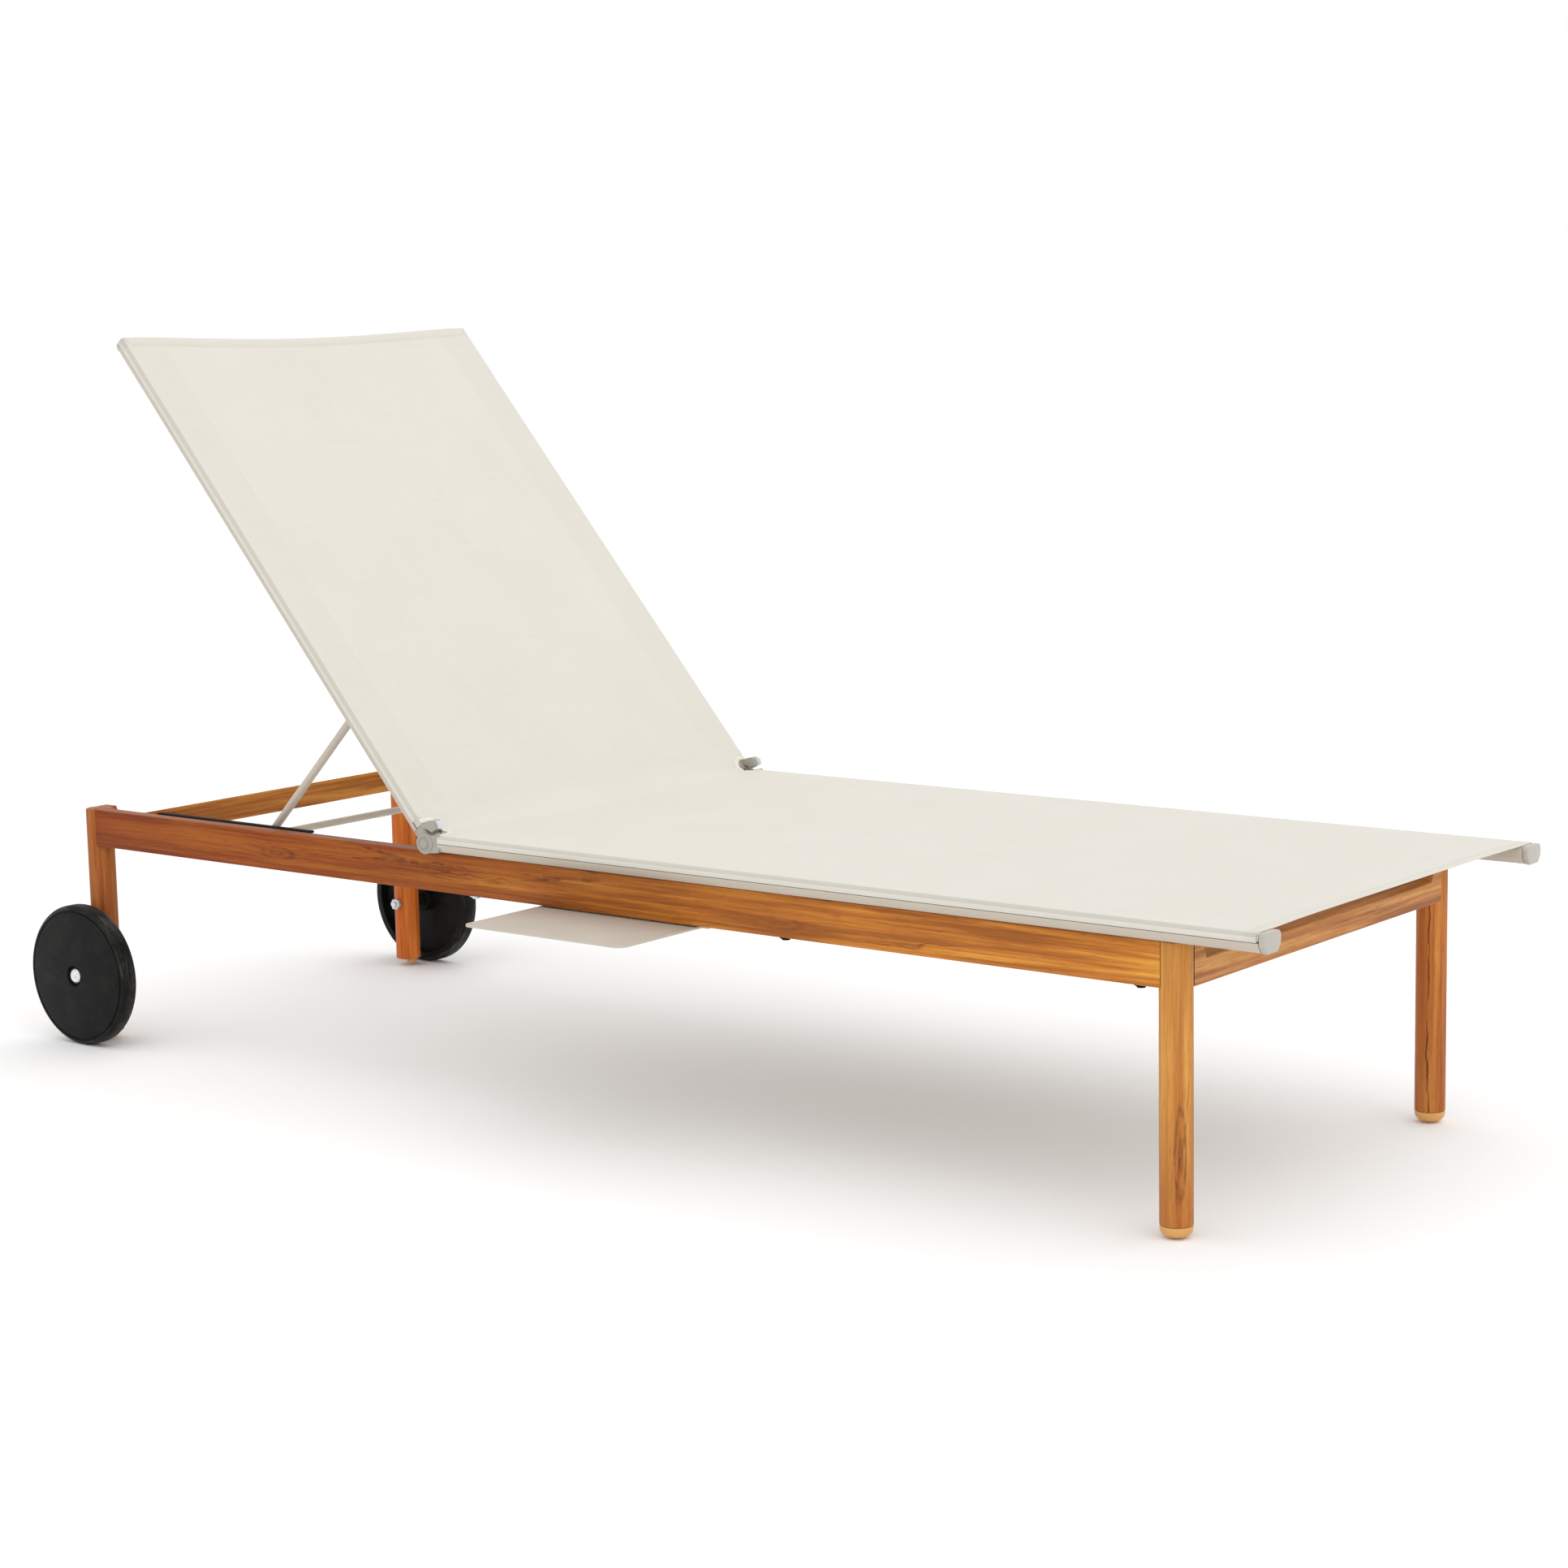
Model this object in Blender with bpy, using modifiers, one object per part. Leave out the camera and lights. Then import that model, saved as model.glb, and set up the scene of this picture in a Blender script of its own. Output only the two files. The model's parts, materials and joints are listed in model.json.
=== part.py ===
"""Reclining sun lounger: wooden frame on legs and wheels, aluminium sling rails,
a back that reclines on two hinges, its support strut, and a sliding side tray.

Metres, +Z up. +X points to the foot end, -Y is the side that the tray slides out of.
The origin is the middle of the outline on the ground.
"""
from math import asin, cos, hypot, pi, radians, sin, sqrt

import bmesh
import bpy
from mathutils import Matrix, Vector

# ---------------------------------------------------------------- driving dimensions
CENTRE_TO_REAR = 0.8995      # from the middle of the outline back to the rear leg axis
MID_Y = 0.045                # the frame's middle plane; the tray widens the outline on -Y
LEG_SPAN = 1.771             # rear leg axis to front leg axis
LEG_Y = 0.303                # leg axis from the middle plane
LEG_R = 0.019
FRAME_TOP = 0.333            # top of the wooden rails and legs
RAIL_HEIGHT = 0.052
RAIL_THICK = 0.022
RAIL_FACE = 0.320            # outer face of a long rail from the middle plane
CROSS_FACE = 0.0172          # outer face of a cross rail from its legs' axis line
CROSS_DIP = 0.0175           # the cross rails' top is lowered between their ends
CROSS_FALL = 0.0070          # and slopes down by this to the outer face
DIP_END = 0.276
DIP_RAMP = 0.006
REAR_LEG_FOOT = 0.011
CAP_HEIGHT = 0.0145
GAP = 0.0003                 # between touching pieces
SEAM = 0.0008                # joint line between a rail's end and a round leg

WHEEL_R = 0.100
WHEEL_OUTER = 0.3645         # outer face of a wheel's hub from the middle plane
WHEEL_THICK = 0.0315
AXLE_R = 0.005
AXLE_HOLE_R = 0.0054

HINGE_FROM_REAR = 0.672      # hinge axis, ahead of the rear leg axis
AXIS_Z = 0.346               # hinge axis height, also the sling rails' axis
SLING_RAIL_Y = 0.318
SEAT_END = 1.227             # hinge axis to the foot end of the caps
BACK_LENGTH = 0.8415
BACK_ANGLE = 49.5            # the back's angle above flat, as it stands
RAIL_START = 0.022           # sling rails begin this far from the hinge axis
KNUCKLE_R = 0.014            # of the seat half, outside the long rail
INNER_KNUCKLE_R = 0.0118     # of the back half, above the long rail
SLING_THICK = 0.0022

STRUT_R = 0.0055
BAR_R = 0.005
STRUT_Y = 0.2745
STRUT_ALONG = 0.2326         # strut pivot, measured up the back from the hinge axis
STRUT_DROP = 0.0045          # and below the back rails' axis
BAR_FROM_REAR = 0.319        # the crossbar as it stands, ahead of the rear leg axis
BAR_Z = 0.318
RACK_START = 0.1165
RACK_END = 0.4205
STOP_ANGLES = (0.0, 16.0, 28.0, 39.0, 49.5, 60.0)

BOLT_SPOTS = (0.736, 1.239, 1.731)
TRAY_CENTRE = 0.9785
TRAY_LONG = 0.257
TRAY_DEEP = 0.420
TRAY_EDGE = 0.457            # the tray's outer edge from the middle plane, as it stands
TRAY_TOP = 0.279
TRAY_THICK = 0.0025
TUBE_WALL = 0.0015

REAR_X = -CENTRE_TO_REAR
FRONT_X = REAR_X + LEG_SPAN
HINGE_X = REAR_X + HINGE_FROM_REAR
FRAME_BOTTOM = FRAME_TOP - RAIL_HEIGHT
SIDES = (("right", -1), ("left", 1))


# ---------------------------------------------------------------- scene and materials
def new_collection(name):
    collection = bpy.data.collections.new(name)
    bpy.context.scene.collection.children.link(collection)
    return collection


for old in list(bpy.data.objects):
    bpy.data.objects.remove(old, do_unlink=True)

PARTS = new_collection("sun_lounger")
CUTTERS = new_collection("cutters")


def material(name, colour, roughness, metallic=0.0):
    made = bpy.data.materials.new(name)
    made.use_nodes = True
    shader = made.node_tree.nodes["Principled BSDF"]
    shader.inputs["Base Color"].default_value = (*colour, 1.0)
    shader.inputs["Roughness"].default_value = roughness
    shader.inputs["Metallic"].default_value = metallic
    return made


FINISHES = {
    "wood": ((0.46, 0.17, 0.05), 0.45, 0.0),
    "end_grain_cap": ((0.62, 0.35, 0.13), 0.5, 0.0),
    "greige_metal": ((0.58, 0.54, 0.47), 0.4, 0.3),
    "grey_casting": ((0.36, 0.35, 0.31), 0.45, 0.3),
    "zinc": ((0.72, 0.74, 0.75), 0.3, 0.9),
    "black_plastic": ((0.02, 0.02, 0.02), 0.55, 0.0),
    "white_nylon": ((0.80, 0.80, 0.76), 0.5, 0.0),
    "sling_cloth": ((0.78, 0.75, 0.66), 0.8, 0.0),
}


# ---------------------------------------------------------------- building helpers
def place(name, mesh, finish, location=(0, 0, 0), rotation=(0, 0, 0), parent=None):
    """Put a mesh in the scene as one named part, with a material of its own."""
    made = bpy.data.objects.new(name, mesh)
    made.location = location
    made.rotation_euler = rotation
    made.parent = parent
    mesh.materials.append(material(name + "_" + finish, *FINISHES[finish]))
    PARTS.objects.link(made)
    return made


def to_mesh(bm, name):
    bmesh.ops.recalc_face_normals(bm, faces=bm.faces)
    mesh = bpy.data.meshes.new(name)
    bm.to_mesh(mesh)
    bm.free()
    return mesh


def arc(centre, radius, start, end, steps):
    """Points of an arc in degrees, both ends included."""
    turns = [radians(start + (end - start) * i / steps) for i in range(steps + 1)]
    return [(centre[0] + radius * cos(t), centre[1] + radius * sin(t)) for t in turns]


def rounded_rectangle(width, height, radius, steps=4):
    across, up = width / 2 - radius, height / 2 - radius
    corners = ((across, up, 0), (-across, up, 90), (-across, -up, 180), (across, -up, 270))
    points = []
    for x, y, start in corners:
        points += arc((x, y), radius, start, start + 90, steps)
    return points


# how an outline's two axes and its depth turn into x, y and z
TURNS = {
    "x": Matrix(((0, 0, 1), (1, 0, 0), (0, 1, 0))).to_4x4(),
    "y": Matrix(((1, 0, 0), (0, 0, 1), (0, 1, 0))).to_4x4(),
    "z": Matrix.Identity(4),
}


def prism(name, outline, low, high, axis):
    """A flat outline pulled from low to high along an axis."""
    bm = bmesh.new()
    ring = [bm.verts.new((u, v, low)) for u, v in outline]
    face = bm.faces.new(ring)
    pulled = bmesh.ops.extrude_face_region(bm, geom=[face])["geom"]
    moved = [item for item in pulled if isinstance(item, bmesh.types.BMVert)]
    bmesh.ops.translate(bm, verts=moved, vec=(0, 0, high - low))
    bmesh.ops.transform(bm, matrix=TURNS[axis], verts=bm.verts)
    return to_mesh(bm, name)


def box(name, size, centre=(0, 0, 0)):
    bm = bmesh.new()
    bmesh.ops.create_cube(bm, size=1.0)
    bmesh.ops.scale(bm, vec=size, verts=bm.verts)
    bmesh.ops.translate(bm, vec=centre, verts=bm.verts)
    return to_mesh(bm, name)


def cylinder(name, radius, low, high, axis, centre=(0, 0), sides=32):
    return prism(name, arc(centre, radius, 0, 360 * (sides - 1) / sides, sides - 1), low, high, axis)


def lathe(name, profile, finish, location, rotation, steps=48, closed=False, parent=None):
    """Turn (radius, height) points, listed from the top down, about the local Z axis."""
    bm = bmesh.new()
    verts = [bm.verts.new((radius, 0, height)) for radius, height in profile]
    for first, second in zip(verts, verts[1:]):
        bm.edges.new((first, second))
    if closed:
        bm.edges.new((verts[-1], verts[0]))
    mesh = bpy.data.meshes.new(name)
    bm.to_mesh(mesh)
    bm.free()
    made = place(name, mesh, finish, location, rotation, parent)
    screw = made.modifiers.new("turn", "SCREW")
    screw.angle = 2 * pi
    screw.steps = screw.render_steps = steps
    screw.use_merge_vertices = True
    screw.merge_threshold = 0.00001
    return made


def bevel(made, width, segments=2, angle=40):
    modifier = made.modifiers.new("rounded edges", "BEVEL")
    modifier.width = width
    modifier.segments = segments
    modifier.limit_method = "ANGLE"
    modifier.angle_limit = radians(angle)
    return made


def boolean(made, tool_mesh, operation="DIFFERENCE"):
    """Cut a part with a tool mesh given in the part's own frame, or join them."""
    tool = bpy.data.objects.new(made.name + "_tool", tool_mesh)
    tool.location = made.location
    tool.rotation_euler = made.rotation_euler
    tool.parent = made.parent
    tool.hide_render = True
    tool.display_type = "WIRE"
    CUTTERS.objects.link(tool)
    modifier = made.modifiers.new(operation.lower(), "BOOLEAN")
    modifier.operation = operation
    modifier.solver = "EXACT"
    modifier.object = tool
    return made


def round_tube(name, path, radius, finish, location=(0, 0, 0), rotation=(0, 0, 0), parent=None):
    """A round tube along a list of points, as a closed mesh."""
    curve = bpy.data.curves.new(name, "CURVE")
    curve.dimensions = "3D"
    curve.bevel_depth = radius
    curve.bevel_resolution = 4
    curve.use_fill_caps = True
    spline = curve.splines.new("POLY")
    spline.points.add(len(path) - 1)
    for point, spot in zip(spline.points, path):
        point.co = (*spot, 1.0)
    drawn = bpy.data.objects.new(name + "_path", curve)
    CUTTERS.objects.link(drawn)
    bpy.context.view_layer.update()
    evaluated = drawn.evaluated_get(bpy.context.evaluated_depsgraph_get())
    mesh = bpy.data.meshes.new_from_object(evaluated)
    mesh.materials.clear()
    bpy.data.objects.remove(drawn, do_unlink=True)
    bm = bmesh.new()
    bm.from_mesh(mesh)
    bmesh.ops.remove_doubles(bm, verts=bm.verts, dist=0.00001)
    bmesh.ops.recalc_face_normals(bm, faces=bm.faces)
    bm.to_mesh(mesh)
    bm.free()
    return place(name, mesh, finish, location, rotation, parent)


# ---------------------------------------------------------------- wooden frame
def long_rail(side_name, side):
    """A long rail, its ends hollowed to sit against the round legs."""
    y = MID_Y + side * (RAIL_FACE - RAIL_THICK / 2)
    rail = place("rail_" + side_name,
                 box("rail", (LEG_SPAN, RAIL_THICK, RAIL_HEIGHT)), "wood",
                 ((REAR_X + FRONT_X) / 2, y, FRAME_TOP - RAIL_HEIGHT / 2))
    bevel(rail, 0.0015)
    leg_y = MID_Y + side * LEG_Y - y
    for end in (-1, 1):
        boolean(rail, cylinder("leg_cut", LEG_R + SEAM, -0.1, 0.1, "z",
                               (end * LEG_SPAN / 2, leg_y), 48))
    for spot in BOLT_SPOTS:
        x = REAR_X + spot - rail.location.x
        boolean(rail, cylinder("bolt_cut", 0.0033, -0.1, 0.1, "z", (x, side * (0.310 - 0.309)), 20))


def dip_cut(end):
    """The space above a cross rail's lowered top, which slopes down to the outer face."""
    high = RAIL_HEIGHT / 2
    bm = bmesh.new()
    for across in (-1, 1):
        sloped = high - CROSS_DIP - CROSS_FALL * (across + 0.5)
        for z in (sloped, high + 0.004):
            reach = DIP_END - DIP_RAMP * (high - z) / CROSS_DIP
            for side in (-1, 1):
                bm.verts.new((end * across * RAIL_THICK, side * reach, z))
    bmesh.ops.convex_hull(bm, input=bm.verts)
    return to_mesh(bm, "dip_cut")


def cross_rail(name, leg_x, end):
    """A cross rail between two legs; end is +1 at the foot and -1 at the head."""
    x = leg_x + end * (CROSS_FACE - RAIL_THICK / 2)
    rail = place(name, box(name, (RAIL_THICK, 2 * LEG_Y, RAIL_HEIGHT)), "wood",
                 (x, MID_Y, FRAME_TOP - RAIL_HEIGHT / 2))
    bevel(rail, 0.0015)
    boolean(rail, dip_cut(end))
    for side in (-1, 1):
        boolean(rail, cylinder("leg_cut", LEG_R + SEAM, -0.1, 0.1, "z",
                               (leg_x - x, side * LEG_Y), 48))


def legs(side_name, side):
    y = MID_Y + side * LEG_Y
    front = place("front_leg_" + side_name,
                  cylinder("front_leg", LEG_R, CAP_HEIGHT + GAP, FRAME_TOP, "z", sides=56),
                  "wood", (FRONT_X, y, 0))
    bevel(front, 0.0012)
    foot = [(0, CAP_HEIGHT), (0.0186, CAP_HEIGHT), (0.0188, 0.0105), (0.0178, 0.0072),
            (0.0152, 0.0040), (0.0110, 0.0015), (0.0060, 0.0), (0, 0.0)]
    lathe("front_foot_cap_" + side_name, foot, "end_grain_cap", (FRONT_X, y, 0), (0, 0, 0), 56)

    rear = place("rear_leg_" + side_name,
                 cylinder("rear_leg", LEG_R, REAR_LEG_FOOT, FRAME_TOP, "z", sides=56),
                 "wood", (REAR_X, y, 0))
    bevel(rear, 0.0022, 3)
    boolean(rear, cylinder("axle_cut", AXLE_HOLE_R, -0.1, 0.1, "y", (0, WHEEL_R), 24))
    plug = [(0, REAR_LEG_FOOT - GAP), (0.0070, REAR_LEG_FOOT - GAP), (0.0068, 0.0052),
            (0.0052, 0.0036), (0, 0.0036)]
    lathe("rear_leg_plug_" + side_name, plug, "end_grain_cap", (REAR_X + 0.006, y, 0), (0, 0, 0), 32)


def spreader(name, spot):
    """A round tube between the long rails, under the seat."""
    reach = RAIL_FACE - RAIL_THICK - GAP
    tube = place(name, cylinder(name, 0.010, -reach, reach, "y"), "greige_metal",
                 (REAR_X + spot, MID_Y, 0.300))
    boolean(tube, cylinder("bore", 0.010 - TUBE_WALL, -1, 1, "y"))


# ---------------------------------------------------------------- wheels
def wheel(side_name, side):
    """One wheel with its axle bolt, nut and spacer, turned about the axle."""
    outward = (-side * pi / 2, 0, 0)
    axle = (REAR_X, MID_Y, WHEEL_R)
    outer, inner = WHEEL_OUTER, WHEEL_OUTER - WHEEL_THICK
    tread = inner + WHEEL_THICK / 2
    profile = [(AXLE_HOLE_R, outer - 0.005), (0.0140, outer - 0.005), (0.0150, outer),
               (0.0170, outer), (0.0500, outer - 0.0010), (0.0800, outer - 0.0032),
               (0.0905, outer - 0.0048), (0.0912, outer - 0.0064), (0.0926, outer - 0.0064),
               (0.0933, outer - 0.0052)]
    profile += [(0.0930 + r, h) for r, h in arc((0, outer - 0.0120), 0.007, 72, 0, 4)]
    profile += [(0.0930 + r, h) for r, h in arc((0, inner + 0.0070), 0.007, 0, -90, 4)]
    profile += [(0.0860, inner), (0.0850, tread - 0.003), (0.0200, tread - 0.003),
                (0.0190, inner), (AXLE_HOLE_R, inner)]
    lathe("wheel_" + side_name, profile, "black_plastic", axle, outward, 72, closed=True)

    head = outer - 0.005 + GAP
    tip = LEG_Y - LEG_R - 0.0125
    bolt = [(0, head + 0.0030), (0.0014, head + 0.0030), (0.0018, head + 0.0037),
            (0.0085, head + 0.0034), (0.0103, head + 0.0020), (0.0105, head),
            (AXLE_R, head), (AXLE_R, tip + 0.0020), (0.0035, tip + 0.0004), (0, tip)]
    lathe("axle_bolt_" + side_name, bolt, "zinc", axle, outward, 24)

    nut = place("axle_nut_" + side_name,
                cylinder("nut", 0.0088, LEG_Y - LEG_R - 0.0085, LEG_Y - LEG_R - GAP, "z", sides=6),
                "zinc", axle, outward)
    bevel(nut, 0.0008)
    boolean(nut, cylinder("nut_bore", AXLE_HOLE_R, 0.2, 0.4, "z", sides=24))

    spacer = [(AXLE_HOLE_R, inner - GAP), (0.0095, inner - GAP),
              (0.0095, LEG_Y + LEG_R + GAP), (AXLE_HOLE_R, LEG_Y + LEG_R + GAP)]
    lathe("axle_spacer_" + side_name, spacer, "black_plastic", axle, outward, 32, closed=True)


# ---------------------------------------------------------------- sling rails and hinges
def sling_profile(side, grow=0.0, slot=True):
    """Section of a sling rail: flat crown, tapering sides, keyed slot on the outer side.

    The outline's first axis runs across the lounger, its second is up from the rail's axis.
    """
    half = 0.0175 + grow
    top = 0.0117 + grow
    bottom = -0.0107 - grow
    points = arc((-half + 0.006, top - 0.006), 0.006, 180, 90, 4)
    points += arc((half - 0.006, top - 0.006), 0.006, 90, 0, 4)
    if slot:
        points += [(half, 0.0032), (0.0140, 0.0032)]
        points += arc((0.0118, 0.0020), 0.0025, 29, 331, 8)
        points += [(0.0140, 0.0008), (half, 0.0008)]
    points += [(half - 0.0006, -0.0030)]
    points += arc((0.0090, bottom + 0.0040), 0.0040, -35, -90, 3)
    points += arc((-0.0090, bottom + 0.0040), 0.0040, -90, -145, 3)
    points += [(-half + 0.0006, -0.0030)]
    return [(side * across, up) for across, up in points]


def sling_rail(name, side, low, high, parent=None, location=(0, 0, 0)):
    """One extruded rail, hollow beside its slot."""
    rail = place(name, prism(name, sling_profile(side), low, high, "x"), "greige_metal",
                 location, parent=parent)
    void = [(-0.0152, -0.0022), (-0.0108, -0.0082), (0.0052, -0.0082), (0.0070, -0.0060),
            (0.0070, 0.0080), (0.0058, 0.0094), (-0.0138, 0.0094), (-0.0152, 0.0080)]
    outline = [(side * across, up) for across, up in void]
    return boolean(rail, prism("void", outline, low - 0.1, high + 0.1, "x"))


def rail_cap(name, side, low, high, finish, parent=None, location=(0, 0, 0)):
    cap = place(name, prism(name, sling_profile(side, 0.0006, False), low, high, "x"), finish,
                location, parent=parent)
    return bevel(cap, 0.0016, 3)


def hinge_half(name, side, reach, knuckle, layer, parent=None, location=(0, 0, 0), horn=None):
    """A cast hinge half: a round knuckle, its web, and a collar at the rail's end.

    reach is +1 for the seat half and -1 for the back half, knuckle is its radius, and
    layer is its nearest and furthest distance from the rail's middle, outwards. horn is
    the outline of an arm over the other half.
    """
    face = RAIL_START - GAP
    web = [(reach * x, z) for x, z in arc((0, 0), knuckle, 60, 300, 20)]
    web += [(reach * (face - 0.002), -0.0098), (reach * (face - 0.002), 0.0098)]
    low, high = sorted((side * layer[0], side * layer[1]))
    half = place(name, prism(name, web, low, high, "y"), "grey_casting", location, parent=parent)
    near, far = sorted((reach * (KNUCKLE_R + 0.0025), reach * face))
    boolean(half, prism("collar", sling_profile(side, slot=False), near, far, "x"), "UNION")
    if horn:
        low, high = sorted((-side * 0.0135, side * 0.0165))
        boolean(half, prism("horn", horn, low, high, "y"), "UNION")
    boolean(half, cylinder("pin_cut", 0.0043, -0.05, 0.05, "y", sides=24))
    return half


def horn_outline():
    """The back half's curved arm over the seat half's knuckle, drawn with the back flat."""
    standing = [(-0.0062, 0.0235), (0.0050, 0.0292), (0.0173, 0.0318), (0.0225, 0.0207)]
    standing += arc((0, 0), 0.0185, 52, 128, 8)
    turn = Matrix.Rotation(radians(BACK_ANGLE), 2)
    return [tuple(turn @ Vector(point)) for point in standing]


def hinge_pin(name, side, location):
    """The pivot pin with its round cap on the outer side."""
    outward = (-side * pi / 2, 0, 0)
    pin = [(0, 0.0192), (0.0058, 0.0192), (0.0066, 0.0185), (0.0072, 0.0192), (0.0082, 0.0190),
           (0.0088, 0.0183), (0.0088, 0.0170 + GAP), (0.0040, 0.0170 + GAP), (0.0040, -0.0125),
           (0, -0.0125)]
    lathe(name, pin, "grey_casting", location, outward, 32)


def seat_side(side_name, side):
    """Seat sling rail, its cap, and the pads and bolts that hold it on the long rail."""
    y = MID_Y + side * SLING_RAIL_Y
    spot = (HINGE_X, y, AXIS_Z)
    rail = sling_rail("seat_rail_" + side_name, side, RAIL_START, SEAT_END - 0.008 - GAP,
                      location=spot)
    rail_cap("seat_rail_cap_" + side_name, side, SEAT_END - 0.008, SEAT_END, "greige_metal",
             location=spot)
    hinge_half("hinge_seat_" + side_name, side, 1, KNUCKLE_R, (0.0045, 0.0170),
               location=spot)
    hinge_pin("hinge_pin_" + side_name, side, spot)
    under = AXIS_Z - 0.0107
    for number, along in enumerate(BOLT_SPOTS, 1):
        bolt_y = MID_Y + side * 0.310
        boolean(rail, cylinder("bolt_cut", 0.0033, -0.0150, -0.0050, "z",
                               (REAR_X + along - HINGE_X, side * (0.310 - SLING_RAIL_Y)), 20))
        pad = place("seat_pad_%s_%d" % (side_name, number),
                    prism("pad", rounded_rectangle(0.026, 0.015, 0.003, 2),
                          FRAME_TOP + GAP, under - GAP, "z"),
                    "white_nylon", (REAR_X + along, bolt_y, 0))
        boolean(pad, cylinder("pad_cut", 0.0033, 0.3, 0.4, "z", sides=20))
        head = FRAME_BOTTOM - GAP
        bolt = [(0, under + 0.0050), (0.0030, under + 0.0050), (0.0030, head), (0.0078, head),
                (0.0078, head - 0.0012), (0.0056, head - 0.0016), (0.0050, head - 0.0036),
                (0, head - 0.0040)]
        lathe("seat_bolt_%s_%d" % (side_name, number), bolt, "zinc",
              (REAR_X + along, bolt_y, 0), (0, 0, 0), 20)


# ---------------------------------------------------------------- back and strut
def pivot(name, location, angle, parent=None):
    made = bpy.data.objects.new(name, None)
    made.location = location
    made.rotation_euler = (0, radians(angle), 0)
    made.parent = parent
    PARTS.objects.link(made)
    return made


def strut_pivot_at(angle):
    """The strut pivot's X from the rear leg axis and its height, at a back angle."""
    turn = radians(angle)
    x = HINGE_FROM_REAR - STRUT_ALONG * cos(turn) - STRUT_DROP * sin(turn)
    z = AXIS_Z + STRUT_ALONG * sin(turn) - STRUT_DROP * cos(turn)
    return x, z


REST_PIVOT = strut_pivot_at(BACK_ANGLE)
STRUT_LENGTH = hypot(REST_PIVOT[0] - BAR_FROM_REAR, REST_PIVOT[1] - BAR_Z)
STRUT_ANGLE = asin((REST_PIVOT[1] - BAR_Z) / STRUT_LENGTH)


def bar_at(angle):
    """Where the crossbar lies in the rack, ahead of the rear leg axis, at a back angle."""
    x, z = strut_pivot_at(angle)
    return x - sqrt(STRUT_LENGTH ** 2 - (z - BAR_Z) ** 2)


def back_side(side_name, side, back):
    """Back sling rail, cap and hinge half. The back is drawn flat, towards -X."""
    spot = (0, side * SLING_RAIL_Y, 0)
    rail = sling_rail("back_rail_" + side_name, side, -(BACK_LENGTH - 0.006 - GAP), -RAIL_START,
                      back, spot)
    inner = -side * 0.0175
    low, high = sorted((inner * 1.5, inner + side * 0.0085))
    boolean(rail, cylinder("strut_cut", STRUT_R + GAP, low, high, "y",
                           (-STRUT_ALONG, -STRUT_DROP), 24))
    rail_cap("back_rail_cap_" + side_name, side, -BACK_LENGTH, -(BACK_LENGTH - 0.006),
             "grey_casting", back, spot)
    hinge_half("hinge_back_" + side_name, side, -1, INNER_KNUCKLE_R, (-0.0135, 0.0040),
               back, spot, horn_outline())


def back_tube(name, along, bow, back):
    """A tube between the back rails, bowed away from the cloth."""
    reach = SLING_RAIL_Y - 0.0175 - GAP
    past = reach + 0.008
    path = []
    for step in range(25):
        y = past * (step / 12 - 1)
        path.append((0, y, -bow * (1 - (y / reach) ** 2)))
    tube = round_tube(name, path, 0.0095, "greige_metal", (-along, 0, 0), parent=back)
    for end in (-1, 1):
        boolean(tube, box("end_cut", (0.080, 0.080, 0.080), (0, end * (reach + 0.040), 0)))


def strut_leg(side_name, side, strut):
    """A strut leg: up from the crossbar, then bent outwards into the back rail."""
    bend = 0.014
    path = [(-STRUT_LENGTH, side * STRUT_Y, 0)]
    for x, y in arc((-bend, STRUT_Y + bend), bend, -90, 0, 6):
        path.append((x, side * y, 0))
    path.append((0, side * (SLING_RAIL_Y - 0.0100), 0))
    leg = round_tube("strut_leg_" + side_name, path, STRUT_R, "greige_metal", parent=strut)
    boolean(leg, cylinder("bar_cut", BAR_R + GAP, -0.4, 0.4, "y", (-STRUT_LENGTH, 0), 24))
    boolean(leg, box("end_cut", (0.020, 0.030, 0.030),
                     (-STRUT_LENGTH - 0.010, side * STRUT_Y, 0)))


def rack(side_name, side):
    """A guide channel on a long rail's inner side, with a notched ledge for the crossbar."""
    face = RAIL_FACE - RAIL_THICK - GAP
    ledge, lip = 0.2815, 0.2887
    section = [(face, 0.3005), (face, 0.3345), (lip, 0.3345), (lip, 0.3315),
               (face - 0.0030, 0.3315), (face - 0.0030, 0.3098), (ledge, 0.3098), (ledge, 0.3005)]
    outline = [(side * y, z) for y, z in section]
    made = place("rack_" + side_name, prism("rack", outline, RACK_START, RACK_END, "x"),
                 "black_plastic", (REAR_X, MID_Y, 0))
    for angle in STOP_ANGLES:
        low, high = sorted((side * 0.2700, side * (face - 0.0030)))
        boolean(made, cylinder("notch", BAR_R + 0.0008, low, high, "y",
                               (bar_at(angle), 0.3115), 16))


# ---------------------------------------------------------------- sling and tray
def sling(name, near, far, parent=None, location=(0, 0, 0)):
    """The stretched cloth as a thin slab on top of the sling rails.

    near and far are its ends from the hinge axis. Its near corners are cut out round
    the hinges.
    """
    half = SLING_RAIL_Y + 0.0165
    between = 0.2980
    clear = 0.0260 if near > 0 else -0.0260
    outline = [(near, -between), (clear, -between), (clear, -half), (far, -half),
               (far, half), (clear, half), (clear, between), (near, between)]
    base = 0.0117 + GAP
    return place(name, prism(name, outline, base, base + SLING_THICK, "z"), "sling_cloth",
                 location, parent=parent)


def tray():
    """Sheet metal tray: rounded corners, and a stop flange near its inner edge."""
    middle = TRAY_EDGE - TRAY_DEEP / 2
    made = place("side_tray",
                 prism("tray", rounded_rectangle(TRAY_LONG, TRAY_DEEP, 0.012, 5),
                       TRAY_TOP - TRAY_THICK, TRAY_TOP, "z"),
                 "greige_metal", (REAR_X + TRAY_CENTRE, MID_Y - middle, 0))
    boolean(made, box("stop", (0.200, 0.0025, 0.0100),
                      (0, TRAY_DEEP / 2 - 0.0030, TRAY_TOP + 0.0040)), "UNION")


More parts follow.
